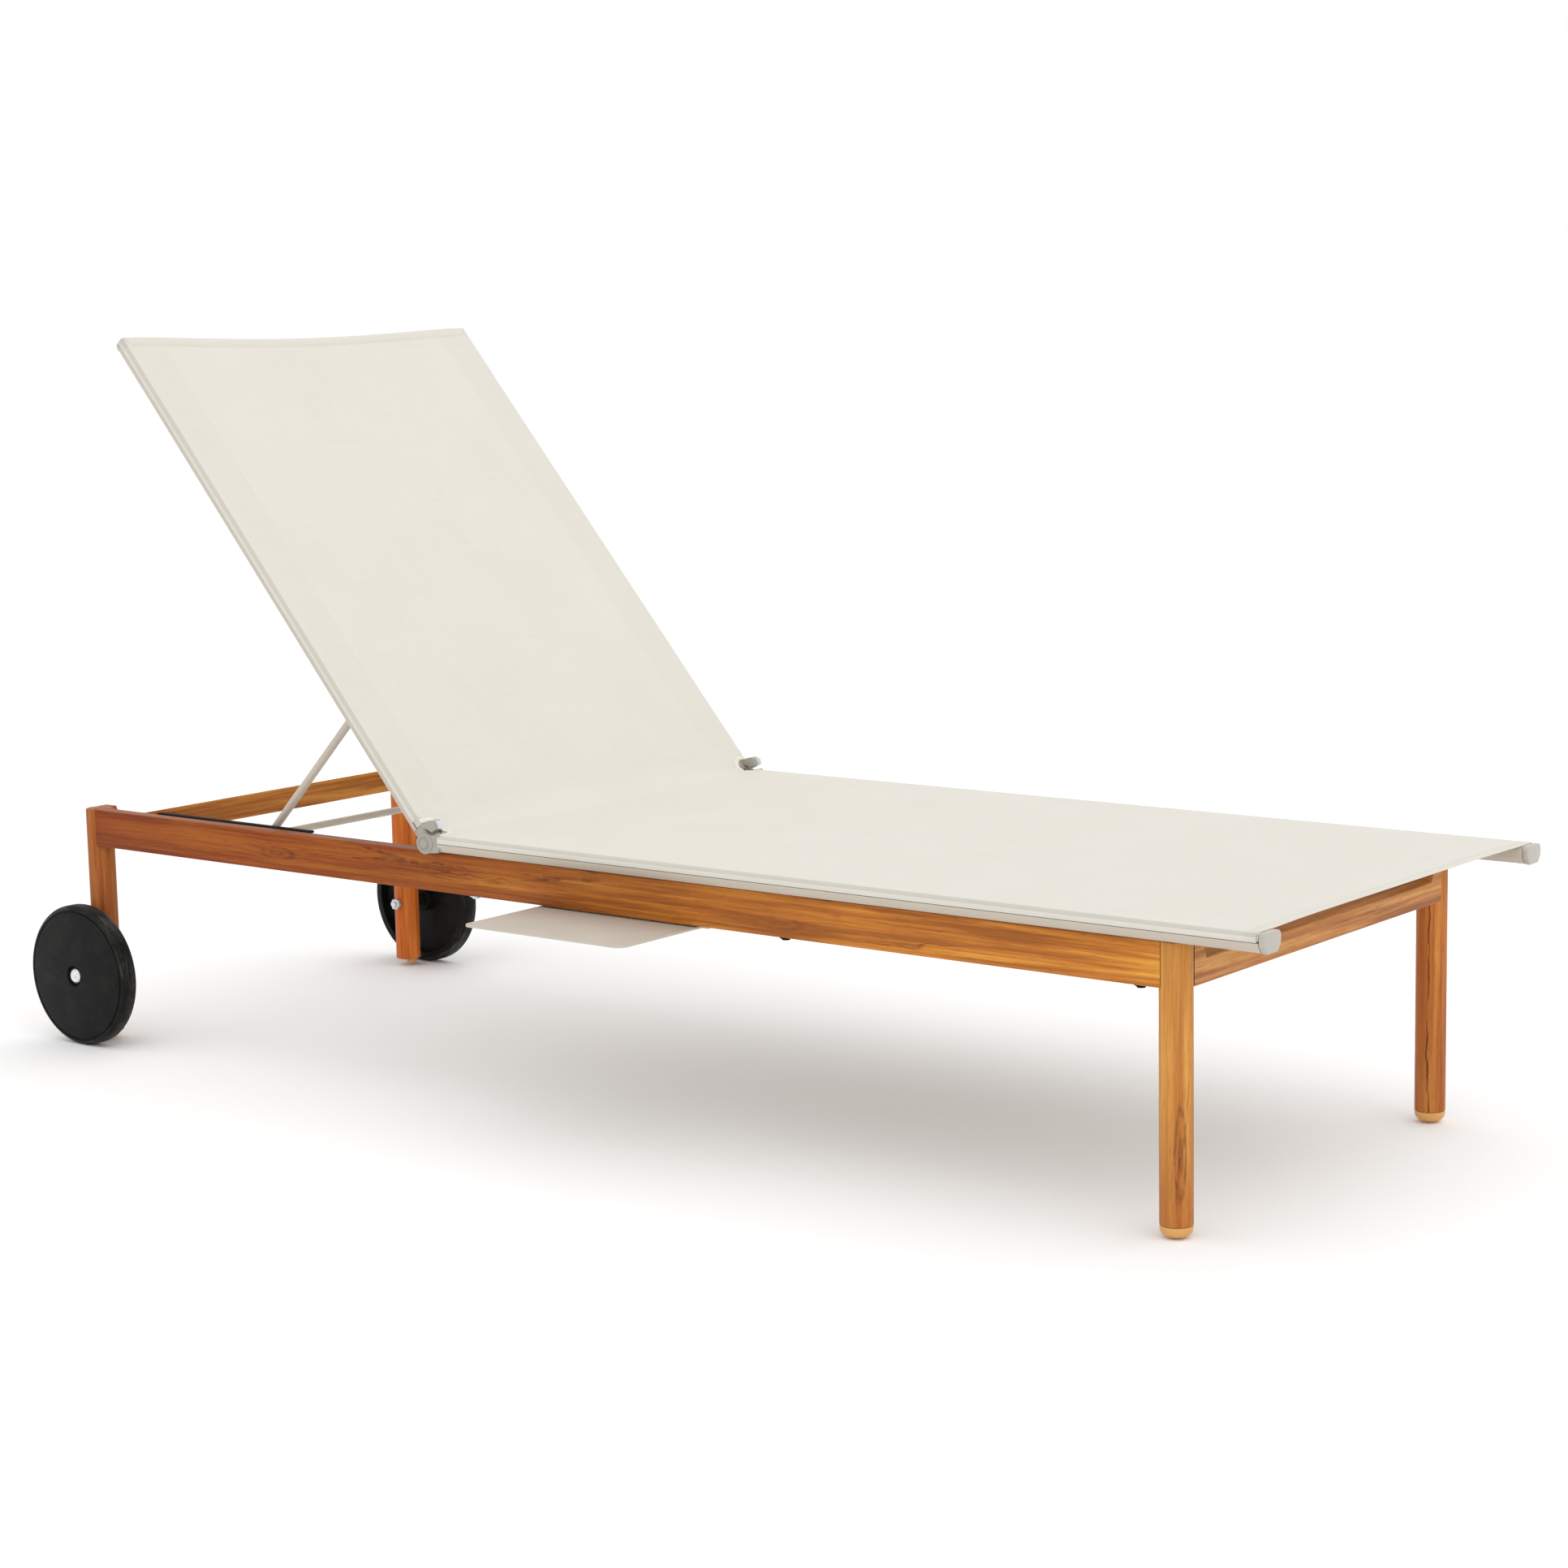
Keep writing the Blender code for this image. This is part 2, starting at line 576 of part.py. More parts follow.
def tray_guide(name, end):
    """A C-shaped guide across the frame that holds one edge of the tray."""
    lip, web, back = TRAY_LONG / 2 - 0.008, TRAY_LONG / 2 + GAP, TRAY_LONG / 2 + 0.0023
    base = TRAY_TOP - TRAY_THICK - GAP
    section = [(lip, base - 0.002), (back, base - 0.002), (back, TRAY_TOP + 0.004),
               (lip, TRAY_TOP + 0.004), (lip, TRAY_TOP + 0.002), (web, TRAY_TOP + 0.002),
               (web, base), (lip, base)]
    outline = [(end * x, z) for x, z in section]
    reach = RAIL_FACE - RAIL_THICK - GAP
    place(name, prism(name, outline, -reach, reach, "y"), "greige_metal",
          (REAR_X + TRAY_CENTRE, MID_Y, 0))


# ---------------------------------------------------------------- the lounger
for side_name, side in SIDES:
    long_rail(side_name, side)
    legs(side_name, side)
    rack(side_name, side)
    wheel(side_name, side)
    seat_side(side_name, side)

cross_rail("foot_cross_rail", FRONT_X, 1)
cross_rail("head_cross_rail", REAR_X, -1)
spreader("spreader_tube_middle", 1.160)
spreader("spreader_tube_foot", 1.560)

back = pivot("back_pivot", (HINGE_X, MID_Y, AXIS_Z), BACK_ANGLE)
for side_name, side in SIDES:
    back_side(side_name, side, back)
back_tube("back_tube_upper", 0.745, 0.060, back)
back_tube("back_tube_lower", 0.118, 0.055, back)

strut = pivot("strut_pivot", (-STRUT_ALONG, 0, -STRUT_DROP),
              -BACK_ANGLE - STRUT_ANGLE * 180 / pi, back)
for side_name, side in SIDES:
    strut_leg(side_name, side, strut)
place("strut_crossbar", cylinder("bar", BAR_R, -0.2935, 0.2935, "y", sides=28),
      "greige_metal", (-STRUT_LENGTH, 0, 0), parent=strut)

sling("sling_seat", 0.0100, SEAT_END - 0.0085, location=(HINGE_X, MID_Y, AXIS_Z))
sling("sling_back", -0.0100, -(BACK_LENGTH - 0.0065), parent=back)

tray()
tray_guide("tray_guide_head", -1)
tray_guide("tray_guide_foot", 1)
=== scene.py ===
"""Reclining sun lounger: finishes, sling cloth, hinge castings, floor, light and camera."""
import json
from math import cos, hypot, pi, radians, sin, sqrt, tan

import bmesh
import bpy
from mathutils import Matrix, Vector


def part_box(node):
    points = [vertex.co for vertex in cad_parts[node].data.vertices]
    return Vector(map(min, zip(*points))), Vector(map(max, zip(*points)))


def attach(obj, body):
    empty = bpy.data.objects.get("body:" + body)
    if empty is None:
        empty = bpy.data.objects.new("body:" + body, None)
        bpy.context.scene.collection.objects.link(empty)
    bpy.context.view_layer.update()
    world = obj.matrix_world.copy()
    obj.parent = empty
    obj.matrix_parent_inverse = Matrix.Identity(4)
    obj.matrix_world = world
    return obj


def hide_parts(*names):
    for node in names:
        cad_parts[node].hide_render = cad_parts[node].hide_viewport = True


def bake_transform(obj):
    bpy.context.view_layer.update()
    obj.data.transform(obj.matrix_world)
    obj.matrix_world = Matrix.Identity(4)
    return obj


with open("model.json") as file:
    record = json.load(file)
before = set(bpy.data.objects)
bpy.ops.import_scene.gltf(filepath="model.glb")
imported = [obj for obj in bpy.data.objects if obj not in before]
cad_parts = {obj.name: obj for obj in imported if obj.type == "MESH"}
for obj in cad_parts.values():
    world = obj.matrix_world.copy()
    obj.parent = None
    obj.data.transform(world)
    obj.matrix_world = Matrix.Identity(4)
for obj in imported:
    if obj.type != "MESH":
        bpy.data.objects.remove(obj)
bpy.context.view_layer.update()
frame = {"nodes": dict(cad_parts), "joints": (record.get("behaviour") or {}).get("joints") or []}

# ---------------------------------------------------------------- places, from the CAD
JOINTS = {joint["name"]: joint for joint in frame["joints"]}
HINGE = Vector(JOINTS["back_recline"]["pos_m"])
AXLE = Vector(JOINTS["wheel_right_spin"]["pos_m"])
MID_Y = HINGE.y
SIDES = (("right", -1), ("left", 1))
BACK_ANGLE = radians(49.5)
BACK_TURN = Matrix.Rotation(BACK_ANGLE, 4, "Y")
FOOT_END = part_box("seat_rail_cap_right")[1].x - HINGE.x
RAIL_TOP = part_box("seat_rail_right")[1].z - HINGE.z
RAIL_OUTER = MID_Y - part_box("seat_rail_right")[0].y
RAIL_INNER = MID_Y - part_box("seat_rail_right")[1].y
RAIL_MIDDLE = (RAIL_OUTER + RAIL_INNER) / 2
BACK_LENGTH = 0.8415         # from the hinge to the back rails' top
CORNER_R = 0.006             # the round of a sling rail's upper edges
SLOT_Z = 0.0014              # height of the slot in its outer face, from the hinge
WHEEL_RIM = (0.0925, 0.0965)  # radii between which its wear fades in

# ---------------------------------------------------------------- the cloth's own sizes
CLOTH_THICK = 0.0011
CLOTH_LIFT = 0.0006          # from the rail's top to the middle of the cloth
CLOTH_Z = RAIL_TOP + CLOTH_LIFT
CLOTH_SEAT = FOOT_END - 0.0105
CLOTH_BACK = BACK_LENGTH - 0.0075
FLAT_HALF = RAIL_OUTER - CORNER_R
SIDE_R = CORNER_R + CLOTH_LIFT + 0.0001  # its turn over the rail
TURN_IN_R = 0.0016           # its turn into the slot
NOTCH_HALF = 0.0180          # the hinge notch: half its length, its depth, its round
NOTCH_DEPTH_Y = 0.3090
NOTCH_R = 0.013
CORNER_X = CLOTH_Z * tan(BACK_ANGLE / 2)
FOOT_U = CLOTH_SEAT - CORNER_X  # the foot end, from the fold
SEAT_DIP = 0.0055            # how far the cloth sags between its rails
BACK_DIP = 0.0050
FOOT_BOW = 0.0100            # how far its two ends draw in at the middle
TOP_BOW = 0.0065
THREADS = 190.0              # scale of the weave
CORE_HALF = 0.27             # evenly spaced columns lie within this, closer ones outside
BAND_EDGE = 0.2715           # where the back's double side bands start
HEM_BAND = 0.015             # the doubled cloth at each end
HEM_HALF = 0.3355            # the hems: half their length, their width, and how far
HEM_WIDTH = 0.014            # each stands off the cloth
FOOT_HEM_LIFT = 0.0007
TOP_HEM_LIFT = 0.0009
STITCH_ROW = FLAT_HALF + 0.0061  # middle of the zigzag along each side


# ---------------------------------------------------------------- material nodes
def node(tree, kind, inputs=None, **settings):
    made = tree.nodes.new("ShaderNode" + kind)
    for key, value in settings.items():
        setattr(made, key, value)
    for key, value in (inputs or {}).items():
        connect(tree, made.inputs[key], value)
    return made


def connect(tree, socket, value):
    if isinstance(value, bpy.types.Node):
        value = value.outputs[0]
    if isinstance(value, bpy.types.NodeSocket):
        tree.links.new(value, socket)
    else:
        socket.default_value = value


def math(tree, operation, first, second=0.0, third=0.0):
    made = node(tree, "Math", operation=operation)
    for socket, value in zip(made.inputs, (first, second, third)):
        connect(tree, socket, value)
    return made.outputs[0]


def vector_math(tree, operation, first, second):
    made = node(tree, "VectorMath", operation=operation)
    connect(tree, made.inputs[0], first)
    connect(tree, made.inputs[1], second)
    return made.outputs["Value" if operation in ("LENGTH", "DOT_PRODUCT") else "Vector"]


def blend_colour(tree, factor, first, second, blend_type="MIX"):
    made = node(tree, "Mix", data_type="RGBA", blend_type=blend_type)
    connect(tree, made.inputs[0], factor)
    connect(tree, made.inputs[6], first)
    connect(tree, made.inputs[7], second)
    return made.outputs[2]


def ramp(tree, factor, stops):
    """Colours from (position, colour) stops, picked by the factor."""
    made = node(tree, "ValToRGB", {"Fac": factor})
    elements = made.color_ramp.elements
    while len(elements) < len(stops):
        elements.new(0.5)
    for element, (position, colour) in zip(elements, stops):
        element.position = position
        element.color = colour if len(colour) == 4 else (*colour, 1.0)
    return made.outputs[0]


def grey(level):
    return (level, level, level, 1.0)


def tinted(colour, red, green, blue):
    return (colour[0] * red, colour[1] * green, colour[2] * blue, 1.0)


def step_up(tree, value, low, high):
    """0 below low, 1 above high, smooth between."""
    made = node(tree, "MapRange", {"Value": value, "From Min": low, "From Max": high},
                interpolation_type="SMOOTHSTEP")
    return made.outputs[0]


def step_down(tree, value, low, high):
    """1 below low, 0 above high, smooth between."""
    return math(tree, "SUBTRACT", 1.0, step_up(tree, value, low, high))


def line_at(tree, value, place, low, high):
    """1 within low of the place, 0 further than high from it."""
    return step_down(tree, math(tree, "ABSOLUTE", math(tree, "SUBTRACT", value, place)), low, high)


def part_coords(tree):
    return node(tree, "TexCoord").outputs["Object"]


def noise(tree, coords, scale, detail=3.0, roughness=0.5, distortion=0.0):
    made = node(tree, "TexNoise", {"Vector": coords, "Scale": scale, "Detail": detail,
                                   "Roughness": roughness, "Distortion": distortion})
    return made.outputs[0]


def scaled(tree, coords, scale, shift=(0, 0, 0)):
    made = node(tree, "Mapping", {"Vector": coords, "Scale": scale, "Location": shift})
    return made.outputs[0]


def new_material(name, roughness=0.5, metallic=0.0, specular=0.5):
    made = bpy.data.materials.new(name)
    made.use_nodes = True
    tree = made.node_tree
    shader = tree.nodes["Principled BSDF"]
    shader.inputs["Roughness"].default_value = roughness
    shader.inputs["Metallic"].default_value = metallic
    shader.inputs["Specular IOR Level"].default_value = specular
    return made, tree, shader


def bump(tree, shader, height, strength, distance):
    made = node(tree, "Bump", {"Height": height, "Strength": strength, "Distance": distance})
    tree.links.new(made.outputs[0], shader.inputs["Normal"])


# ---------------------------------------------------------------- wood
GRAIN = {"x": (0, 1, 2), "y": (1, 2, 0), "z": (2, 0, 1)}


def wood(name, grain, seed, colour, pith=(0.055, 0.030), figure=0.5, veins=0.5, eyes=(), calm=1.0,
         cracks=(), painted_shade=None):
    """Oiled hardwood. grain is the axis it runs along; each board has its own seed.

    colour is the board's middle tone and pith the centre of its growth rings. figure sets how
    strongly they show and veins how many dark wavy lines it has. eyes are lens-shaped, each
    (place, half length, half width, strength) in metres. calm above 1 softens its streaks.
    cracks are dark wavy lines along the board, each (place, direction across the line).
    The last argument is (where, where it ends, tint): painted shade, the tint darkening the board
    at one end and fading out toward the other, as if less light fell on that end.
    """
    made, tree, shader = new_material(name, 0.42, 0.0, 0.18)
    spot = part_coords(tree)
    split = node(tree, "SeparateXYZ", {"Vector": spot})
    order = [split.outputs[i] for i in GRAIN[grain]]
    board = node(tree, "CombineXYZ", {"X": order[0], "Y": order[1], "Z": order[2]}).outputs[0]
    shift = (seed * 1.37, seed * 0.71, seed * 0.39)

    def stretched(along, across, detail=2.0, roughness=0.5, more=0.0):
        moved = (shift[0] + more, shift[1] + more, shift[2])
        return noise(tree, scaled(tree, board, (along, across, across), moved), 1.0, detail,
                     roughness)

    drift = stretched(1.6, 9)
    waver = stretched(9, 34, more=3.0)
    push = math(tree, "MULTIPLY_ADD", drift, 0.045, math(tree, "MULTIPLY", waver, 0.005))
    eye_dark = None
    for place, half_length, half_width, strength in eyes:
        near = [place[i] for i in GRAIN[grain]]
        apart = vector_math(tree, "SUBTRACT", board, near)
        apart = scaled(tree, apart, (1 / half_length, 1 / half_width, 1 / half_width))
        distance = vector_math(tree, "LENGTH", apart, (0, 0, 0))
        distance = math(tree, "MULTIPLY_ADD", math(tree, "SUBTRACT", stretched(26, 120), 0.5), 0.5,
                        distance)
        around = step_down(tree, distance, 0.2, 2.4)
        push = math(tree, "MULTIPLY_ADD", around, half_width * 1.6, push)
        outer = line_at(tree, distance, 0.85, 0.03, 0.30)
        heart = line_at(tree, distance, 0.28, 0.03, 0.24)
        broken = step_up(tree, stretched(34, 60, 3.0, more=9.0), 0.34, 0.58)
        dark = math(tree, "MAXIMUM", math(tree, "MULTIPLY", outer, broken),
                    math(tree, "MULTIPLY", heart, 0.75))
        dark = math(tree, "MULTIPLY", dark, strength)
        eye_dark = dark if eye_dark is None else math(tree, "MAXIMUM", eye_dark, dark)

    offset = node(tree, "CombineXYZ", {"X": 0.0, "Y": push, "Z": push}).outputs[0]
    moved = vector_math(tree, "ADD", board, offset)
    moved = vector_math(tree, "ADD", scaled(tree, moved, (0.03, 1, 1)),
                        (0.0, pith[0] + 0.004 * seed, pith[1]))
    ring = node(tree, "TexWave", {"Vector": moved, "Scale": 46.0, "Distortion": 1.2,
                                  "Detail": 2.0, "Detail Scale": 1.0},
                wave_type="RINGS", rings_direction="X", wave_profile="SAW").outputs["Fac"]
    late = ramp(tree, ring, ((0.0, grey(0.45)), (0.12, grey(0.0)), (0.60, grey(0.20)),
                             (0.92, grey(1.0)), (1.0, grey(0.75))))
    where = math(tree, "MULTIPLY_ADD", step_up(tree, stretched(2.4, 20, 3.0, 0.6), 0.38, 0.66),
                 0.8, 0.2)
    late = math(tree, "MULTIPLY", math(tree, "MULTIPLY", late, where), figure)

    streak = stretched(3.2, 80, 4.0, 0.62, 5.0)
    fine = stretched(5.0, 240, 3.0, 0.6, 13.0)
    tone = stretched(1.8, 17, 3.0, 0.55, 7.0)
    fibre = stretched(14, 420, 3.0, 0.6)
    brown = tinted(colour, 0.42, 0.33, 0.32)
    level = math(tree, "MULTIPLY_ADD", streak, 0.38, math(tree, "MULTIPLY", tone, 0.40))
    level = math(tree, "MULTIPLY_ADD", fine, 0.22, level)
    middle = 0.495
    base = ramp(tree, level, ((middle - 0.070 * calm, tinted(colour, 0.60, 0.54, 0.60)),
                              (middle, colour),
                              (middle + 0.080 * calm, tinted(colour, 1.34, 1.80, 2.0))))
    base = blend_colour(tree, math(tree, "MULTIPLY", late, 0.75), base, brown)
    ruddy = step_up(tree, stretched(1.5, 11, 2.0, 0.5, 17.0), 0.46, 0.66)
    base = blend_colour(tree, math(tree, "MULTIPLY", ruddy, 0.55), base,
                        tinted(colour, 0.80, 0.58, 0.55))
    pores = math(tree, "MULTIPLY", step_up(tree, fibre, 0.54, 0.70), 0.22)
    base = blend_colour(tree, pores, base, brown)
    dashes = step_up(tree, stretched(48, 560, 1.0, 0.5, 19.0), 0.60, 0.68)
    base = blend_colour(tree, math(tree, "MULTIPLY", dashes, 0.30), base, brown)

    sideways = math(tree, "MULTIPLY", stretched(34, 34, 3.0), 0.006)
    upward = math(tree, "MULTIPLY", drift, 0.02)
    wiggle = node(tree, "CombineXYZ", {"X": 0.0, "Y": sideways, "Z": upward}).outputs[0]
    bent = vector_math(tree, "ADD", board, wiggle)
    path = noise(tree, scaled(tree, bent, (1.5, 22, 22), shift), 1.0, 1.5, 0.45)
    line = line_at(tree, path, 0.5, 0.001, 0.0085)
    veined = step_up(tree, stretched(3.0, 12, 1.0, 0.5, 11.0), 0.60 - 0.14 * veins,
                     0.68 - 0.14 * veins)
    line = math(tree, "MULTIPLY", line, veined)
    for breaks, low, high, share in ((stretched(60, 60), 0.36, 0.60, 0.75),
                                     (stretched(12, 330, 2.0, 0.5, 23.0), 0.40, 0.56, 0.55)):
        kept = math(tree, "MULTIPLY_ADD", step_up(tree, breaks, low, high), share, 1 - share)
        line = math(tree, "MULTIPLY", line, kept)
    base = blend_colour(tree, math(tree, "MULTIPLY", line, 0.80), base,
                        tinted(colour, 0.20, 0.15, 0.20))
    if eye_dark is not None:
        base = blend_colour(tree, eye_dark, base, tinted(colour, 0.34, 0.27, 0.45))
    for place, across in cracks:
        apart = vector_math(tree, "DOT_PRODUCT", vector_math(tree, "SUBTRACT", spot, place), across)
        for wander, size in ((stretched(16, 10, 1.5, more=29.0), 0.013),
                             (stretched(80, 20, 2.0, more=31.0), 0.0035)):
            wander = math(tree, "SUBTRACT", wander, 0.5)
            apart = math(tree, "MULTIPLY_ADD", wander, size, apart)
        reach = math(tree, "MULTIPLY_ADD", stretched(30, 20, 2.0, more=37.0), 0.0040, -0.0008)
        share = math(tree, "DIVIDE", math(tree, "ABSOLUTE", apart), reach)
        mark = step_down(tree, share, 0.35, 1.0)
        base = blend_colour(tree, math(tree, "MULTIPLY", mark, 0.85), base,
                            tinted(colour, 0.16, 0.12, 0.18))
    # Painted shade: the board's colour is multiplied by the tint in full below start, fading to
    # none above end.
    if painted_shade is not None:
        start, end, tint = painted_shade
        unshaded_share = step_up(tree, split.outputs[GRAIN[grain][0]], start, end)
        base = blend_colour(tree, 1.0, base, blend_colour(tree, unshaded_share, (*tint, 1.0), grey(1.0)),
                            "MULTIPLY")
    tree.links.new(base, shader.inputs["Base Color"])
    tree.links.new(math(tree, "MULTIPLY_ADD", fibre, 0.20, 0.36), shader.inputs["Roughness"])
    relief = math(tree, "SUBTRACT", math(tree, "MULTIPLY", fibre, -0.6),
                  math(tree, "MULTIPLY", late, 0.4))
    bump(tree, shader, relief, 0.18, 0.0003)
    return made


# ---------------------------------------------------------------- metals, plastics, cloth
def coated(name, colour, roughness, speckle, grain=1500.0):
    """A coated, cast or moulded surface: a fine orange peel and faint clouding."""
    made, tree, shader = new_material(name, roughness)
    spot = part_coords(tree)
    peel = noise(tree, spot, grain, 2.0)
    cloud = noise(tree, spot, 18.0, 3.0)
    level = math(tree, "MULTIPLY_ADD", cloud, 0.6, math(tree, "MULTIPLY", peel, 0.4))
    darker = tuple(channel * (1 - speckle) for channel in colour)
    lighter = tuple(min(1.0, channel * (1 + speckle)) for channel in colour)
    tree.links.new(ramp(tree, level, ((0.35, darker), (0.65, lighter))),
                   shader.inputs["Base Color"])
    tree.links.new(math(tree, "MULTIPLY_ADD", cloud, 0.12, roughness - 0.06),
                   shader.inputs["Roughness"])
    bump(tree, shader, peel, 0.15, 0.0002)
    return made


def black_plastic(name, level, scuff, roughness, specular=0.14):
    """Moulded black plastic with a fine grain and grey scuffs. level is how dark it is."""
    made, tree, shader = new_material(name, roughness, 0.0, specular)
    spot = part_coords(tree)
    grain = noise(tree, spot, 1300.0, 2.0)
    cloud = noise(tree, spot, 26.0, 5.0, 0.62)
    marks = noise(tree, scaled(tree, spot, (60, 260, 60)), 1.0, 4.0, 0.6, 0.8)
    worn = math(tree, "MULTIPLY", step_up(tree, marks, 0.58, 0.74),
                step_up(tree, cloud, 0.48, 0.66))
    base = ramp(tree, cloud, ((0.30, tinted(grey(level), 1.0, 1.0, 0.95)),
                              (0.72, tinted(grey(level), 2.1, 2.1, 2.0))))
    base = blend_colour(tree, math(tree, "MULTIPLY", worn, scuff * 4.0), base,
                        (0.11, 0.107, 0.10, 1))
    tree.links.new(base, shader.inputs["Base Color"])
    tree.links.new(math(tree, "MULTIPLY_ADD", cloud, 0.2, roughness - 0.08),
                   shader.inputs["Roughness"])
    bump(tree, shader, grain, 0.22, 0.0003)
    return made


def wheel_plastic(name, axle):
    """Black plastic, dusty and scuffed round the rim."""
    made = black_plastic(name, 0.0038, 0.05, 0.50, 0.12)
    tree = made.node_tree
    shader = tree.nodes["Principled BSDF"]
    plain = shader.inputs["Base Color"].links[0].from_socket
    spot = part_coords(tree)
    apart = vector_math(tree, "SUBTRACT", spot, tuple(axle))
    flat = node(tree, "SeparateXYZ", {"Vector": apart})
    reach = math(tree, "SQRT", math(tree, "ADD", math(tree, "POWER", flat.outputs[0], 2.0),
                                    math(tree, "POWER", flat.outputs[2], 2.0)))
    angle = math(tree, "ARCTAN2", flat.outputs[2], flat.outputs[0])
    around = node(tree, "CombineXYZ", {"X": angle, "Y": reach, "Z": flat.outputs[1]}).outputs[0]
    scratch = noise(tree, scaled(tree, around, (2.5, 420, 420)), 1.0, 4.0, 0.65)
    patches = noise(tree, scaled(tree, around, (1.6, 30, 30)), 1.0, 4.0, 0.6)
    rim = step_up(tree, reach, *WHEEL_RIM)
    worn = math(tree, "MULTIPLY", rim, step_up(tree, scratch, 0.42, 0.72))
    worn = math(tree, "MULTIPLY", worn, step_up(tree, patches, 0.38, 0.66))
    dusty = blend_colour(tree, math(tree, "MULTIPLY", worn, 0.55), plain, (0.19, 0.18, 0.165, 1))
    haze = math(tree, "MULTIPLY", step_up(tree, patches, 0.40, 0.75), 0.10)
    dusty = blend_colour(tree, haze, dusty, (0.075, 0.074, 0.068, 1))
    tree.links.new(dusty, shader.inputs["Base Color"])
    return made


def zinc(name):
    made, tree, shader = new_material(name, 0.34, 0.9)
    spot = part_coords(tree)
    cloud = noise(tree, spot, 160.0, 3.0)
    tree.links.new(ramp(tree, cloud, ((0.35, (0.56, 0.60, 0.62)), (0.65, (0.80, 0.84, 0.86)))),
                   shader.inputs["Base Color"])
    bump(tree, shader, noise(tree, spot, 900.0, 2.0), 0.2, 0.0002)
    return made


def sling_cloth(name):
    """Plain woven mesh cloth. Its UV map is its flat cut in metres, from the fold at the hinge."""
    made, tree, shader = new_material(name, 0.72, 0.0, 0.3)
    shader.inputs["Sheen Weight"].default_value = 0.15
    flat = node(tree, "TexCoord").outputs["UV"]
    split = node(tree, "SeparateXYZ", {"Vector": flat})
    along, across = split.outputs[0], math(tree, "ABSOLUTE", split.outputs[1])
    warp, weft = (node(tree, "TexWave", {"Vector": flat, "Scale": THREADS},
                       bands_direction=axis).outputs["Fac"] for axis in "XY")
    weave = math(tree, "MAXIMUM", warp, weft)
    slub = noise(tree, scaled(tree, flat, (8, 900, 1)), 1.0, 2.0)
    slub_across = noise(tree, scaled(tree, flat, (900, 8, 1)), 1.0, 2.0)
    cloud = noise(tree, scaled(tree, flat, (7, 7, 1)), 1.0, 3.0)
    level = math(tree, "MULTIPLY_ADD", weave, 0.30, math(tree, "MULTIPLY", slub, 0.25))
    level = math(tree, "ADD", level, math(tree, "MULTIPLY", slub_across, 0.25))
    level = math(tree, "MULTIPLY_ADD", cloud, 0.20, level)
    base = ramp(tree, level, ((0.25, (0.572, 0.542, 0.472)), (0.55, (0.660, 0.631, 0.565)),
                              (0.80, (0.706, 0.680, 0.620))))

    back = step_down(tree, along, -0.06, -0.02)
    side_band = math(tree, "MULTIPLY", step_up(tree, across, BAND_EDGE - 0.001, BAND_EDGE + 0.001),
                     back)
    top_edge, foot_edge = HEM_BAND - CLOTH_BACK, FOOT_U - HEM_BAND
    top_band = step_down(tree, along, top_edge - 0.0005, top_edge + 0.0005)
    foot_band = step_up(tree, along, foot_edge - 0.0005, foot_edge + 0.0005)
    doubled = math(tree, "MAXIMUM", side_band, math(tree, "MAXIMUM", top_band, foot_band))
    base = blend_colour(tree, math(tree, "MULTIPLY", doubled, 0.22), base, (0.60, 0.57, 0.49, 1))

    zigzag = math(tree, "MULTIPLY_ADD", math(tree, "PINGPONG", along, 0.0011), 3.4,
                  STITCH_ROW - 0.0019)
    dash = step_up(tree, math(tree, "PINGPONG", along, 0.0015), 0.0005, 0.0010)
    stitched = math(tree, "ABSOLUTE", math(tree, "SUBTRACT", across, zigzag))
    stitched = step_up(tree, stitched, 0.0004, 0.0011)
    in_row = line_at(tree, across, STITCH_ROW, 0.0021, 0.0027)
    stitched = math(tree, "MULTIPLY", math(tree, "MULTIPLY", stitched, in_row), 0.46)
    base = blend_colour(tree, stitched, base, (0.30, 0.28, 0.23, 1))
    seam = line_at(tree, across, BAND_EDGE + 0.002, 0.0004, 0.0009)
    seam = math(tree, "MULTIPLY", math(tree, "MULTIPLY", seam, back), dash)
    base = blend_colour(tree, math(tree, "MULTIPLY", seam, 0.14), base, (0.45, 0.42, 0.36, 1))
    tree.links.new(base, shader.inputs["Base Color"])
    height = math(tree, "SUBTRACT", weave, math(tree, "MULTIPLY", stitched, 3.0))
    bump(tree, shader, height, 0.35, 0.0004)
    return made


def thread_cloth(name, colour):
    """Binding tape with a fine uneven grain."""
    made, tree, shader = new_material(name, 0.75, 0.0, 0.3)
    spot = part_coords(tree)
    threads = noise(tree, spot, 700.0, 3.0)
    cloud = noise(tree, spot, 60.0, 2.0)
    level = math(tree, "MULTIPLY_ADD", threads, 0.5, math(tree, "MULTIPLY", cloud, 0.5))
    darker = tuple(channel * 0.90 for channel in colour)
    tree.links.new(ramp(tree, level, ((0.35, darker), (0.65, colour))), shader.inputs["Base Color"])
    bump(tree, shader, threads, 0.4, 0.0004)
    return made


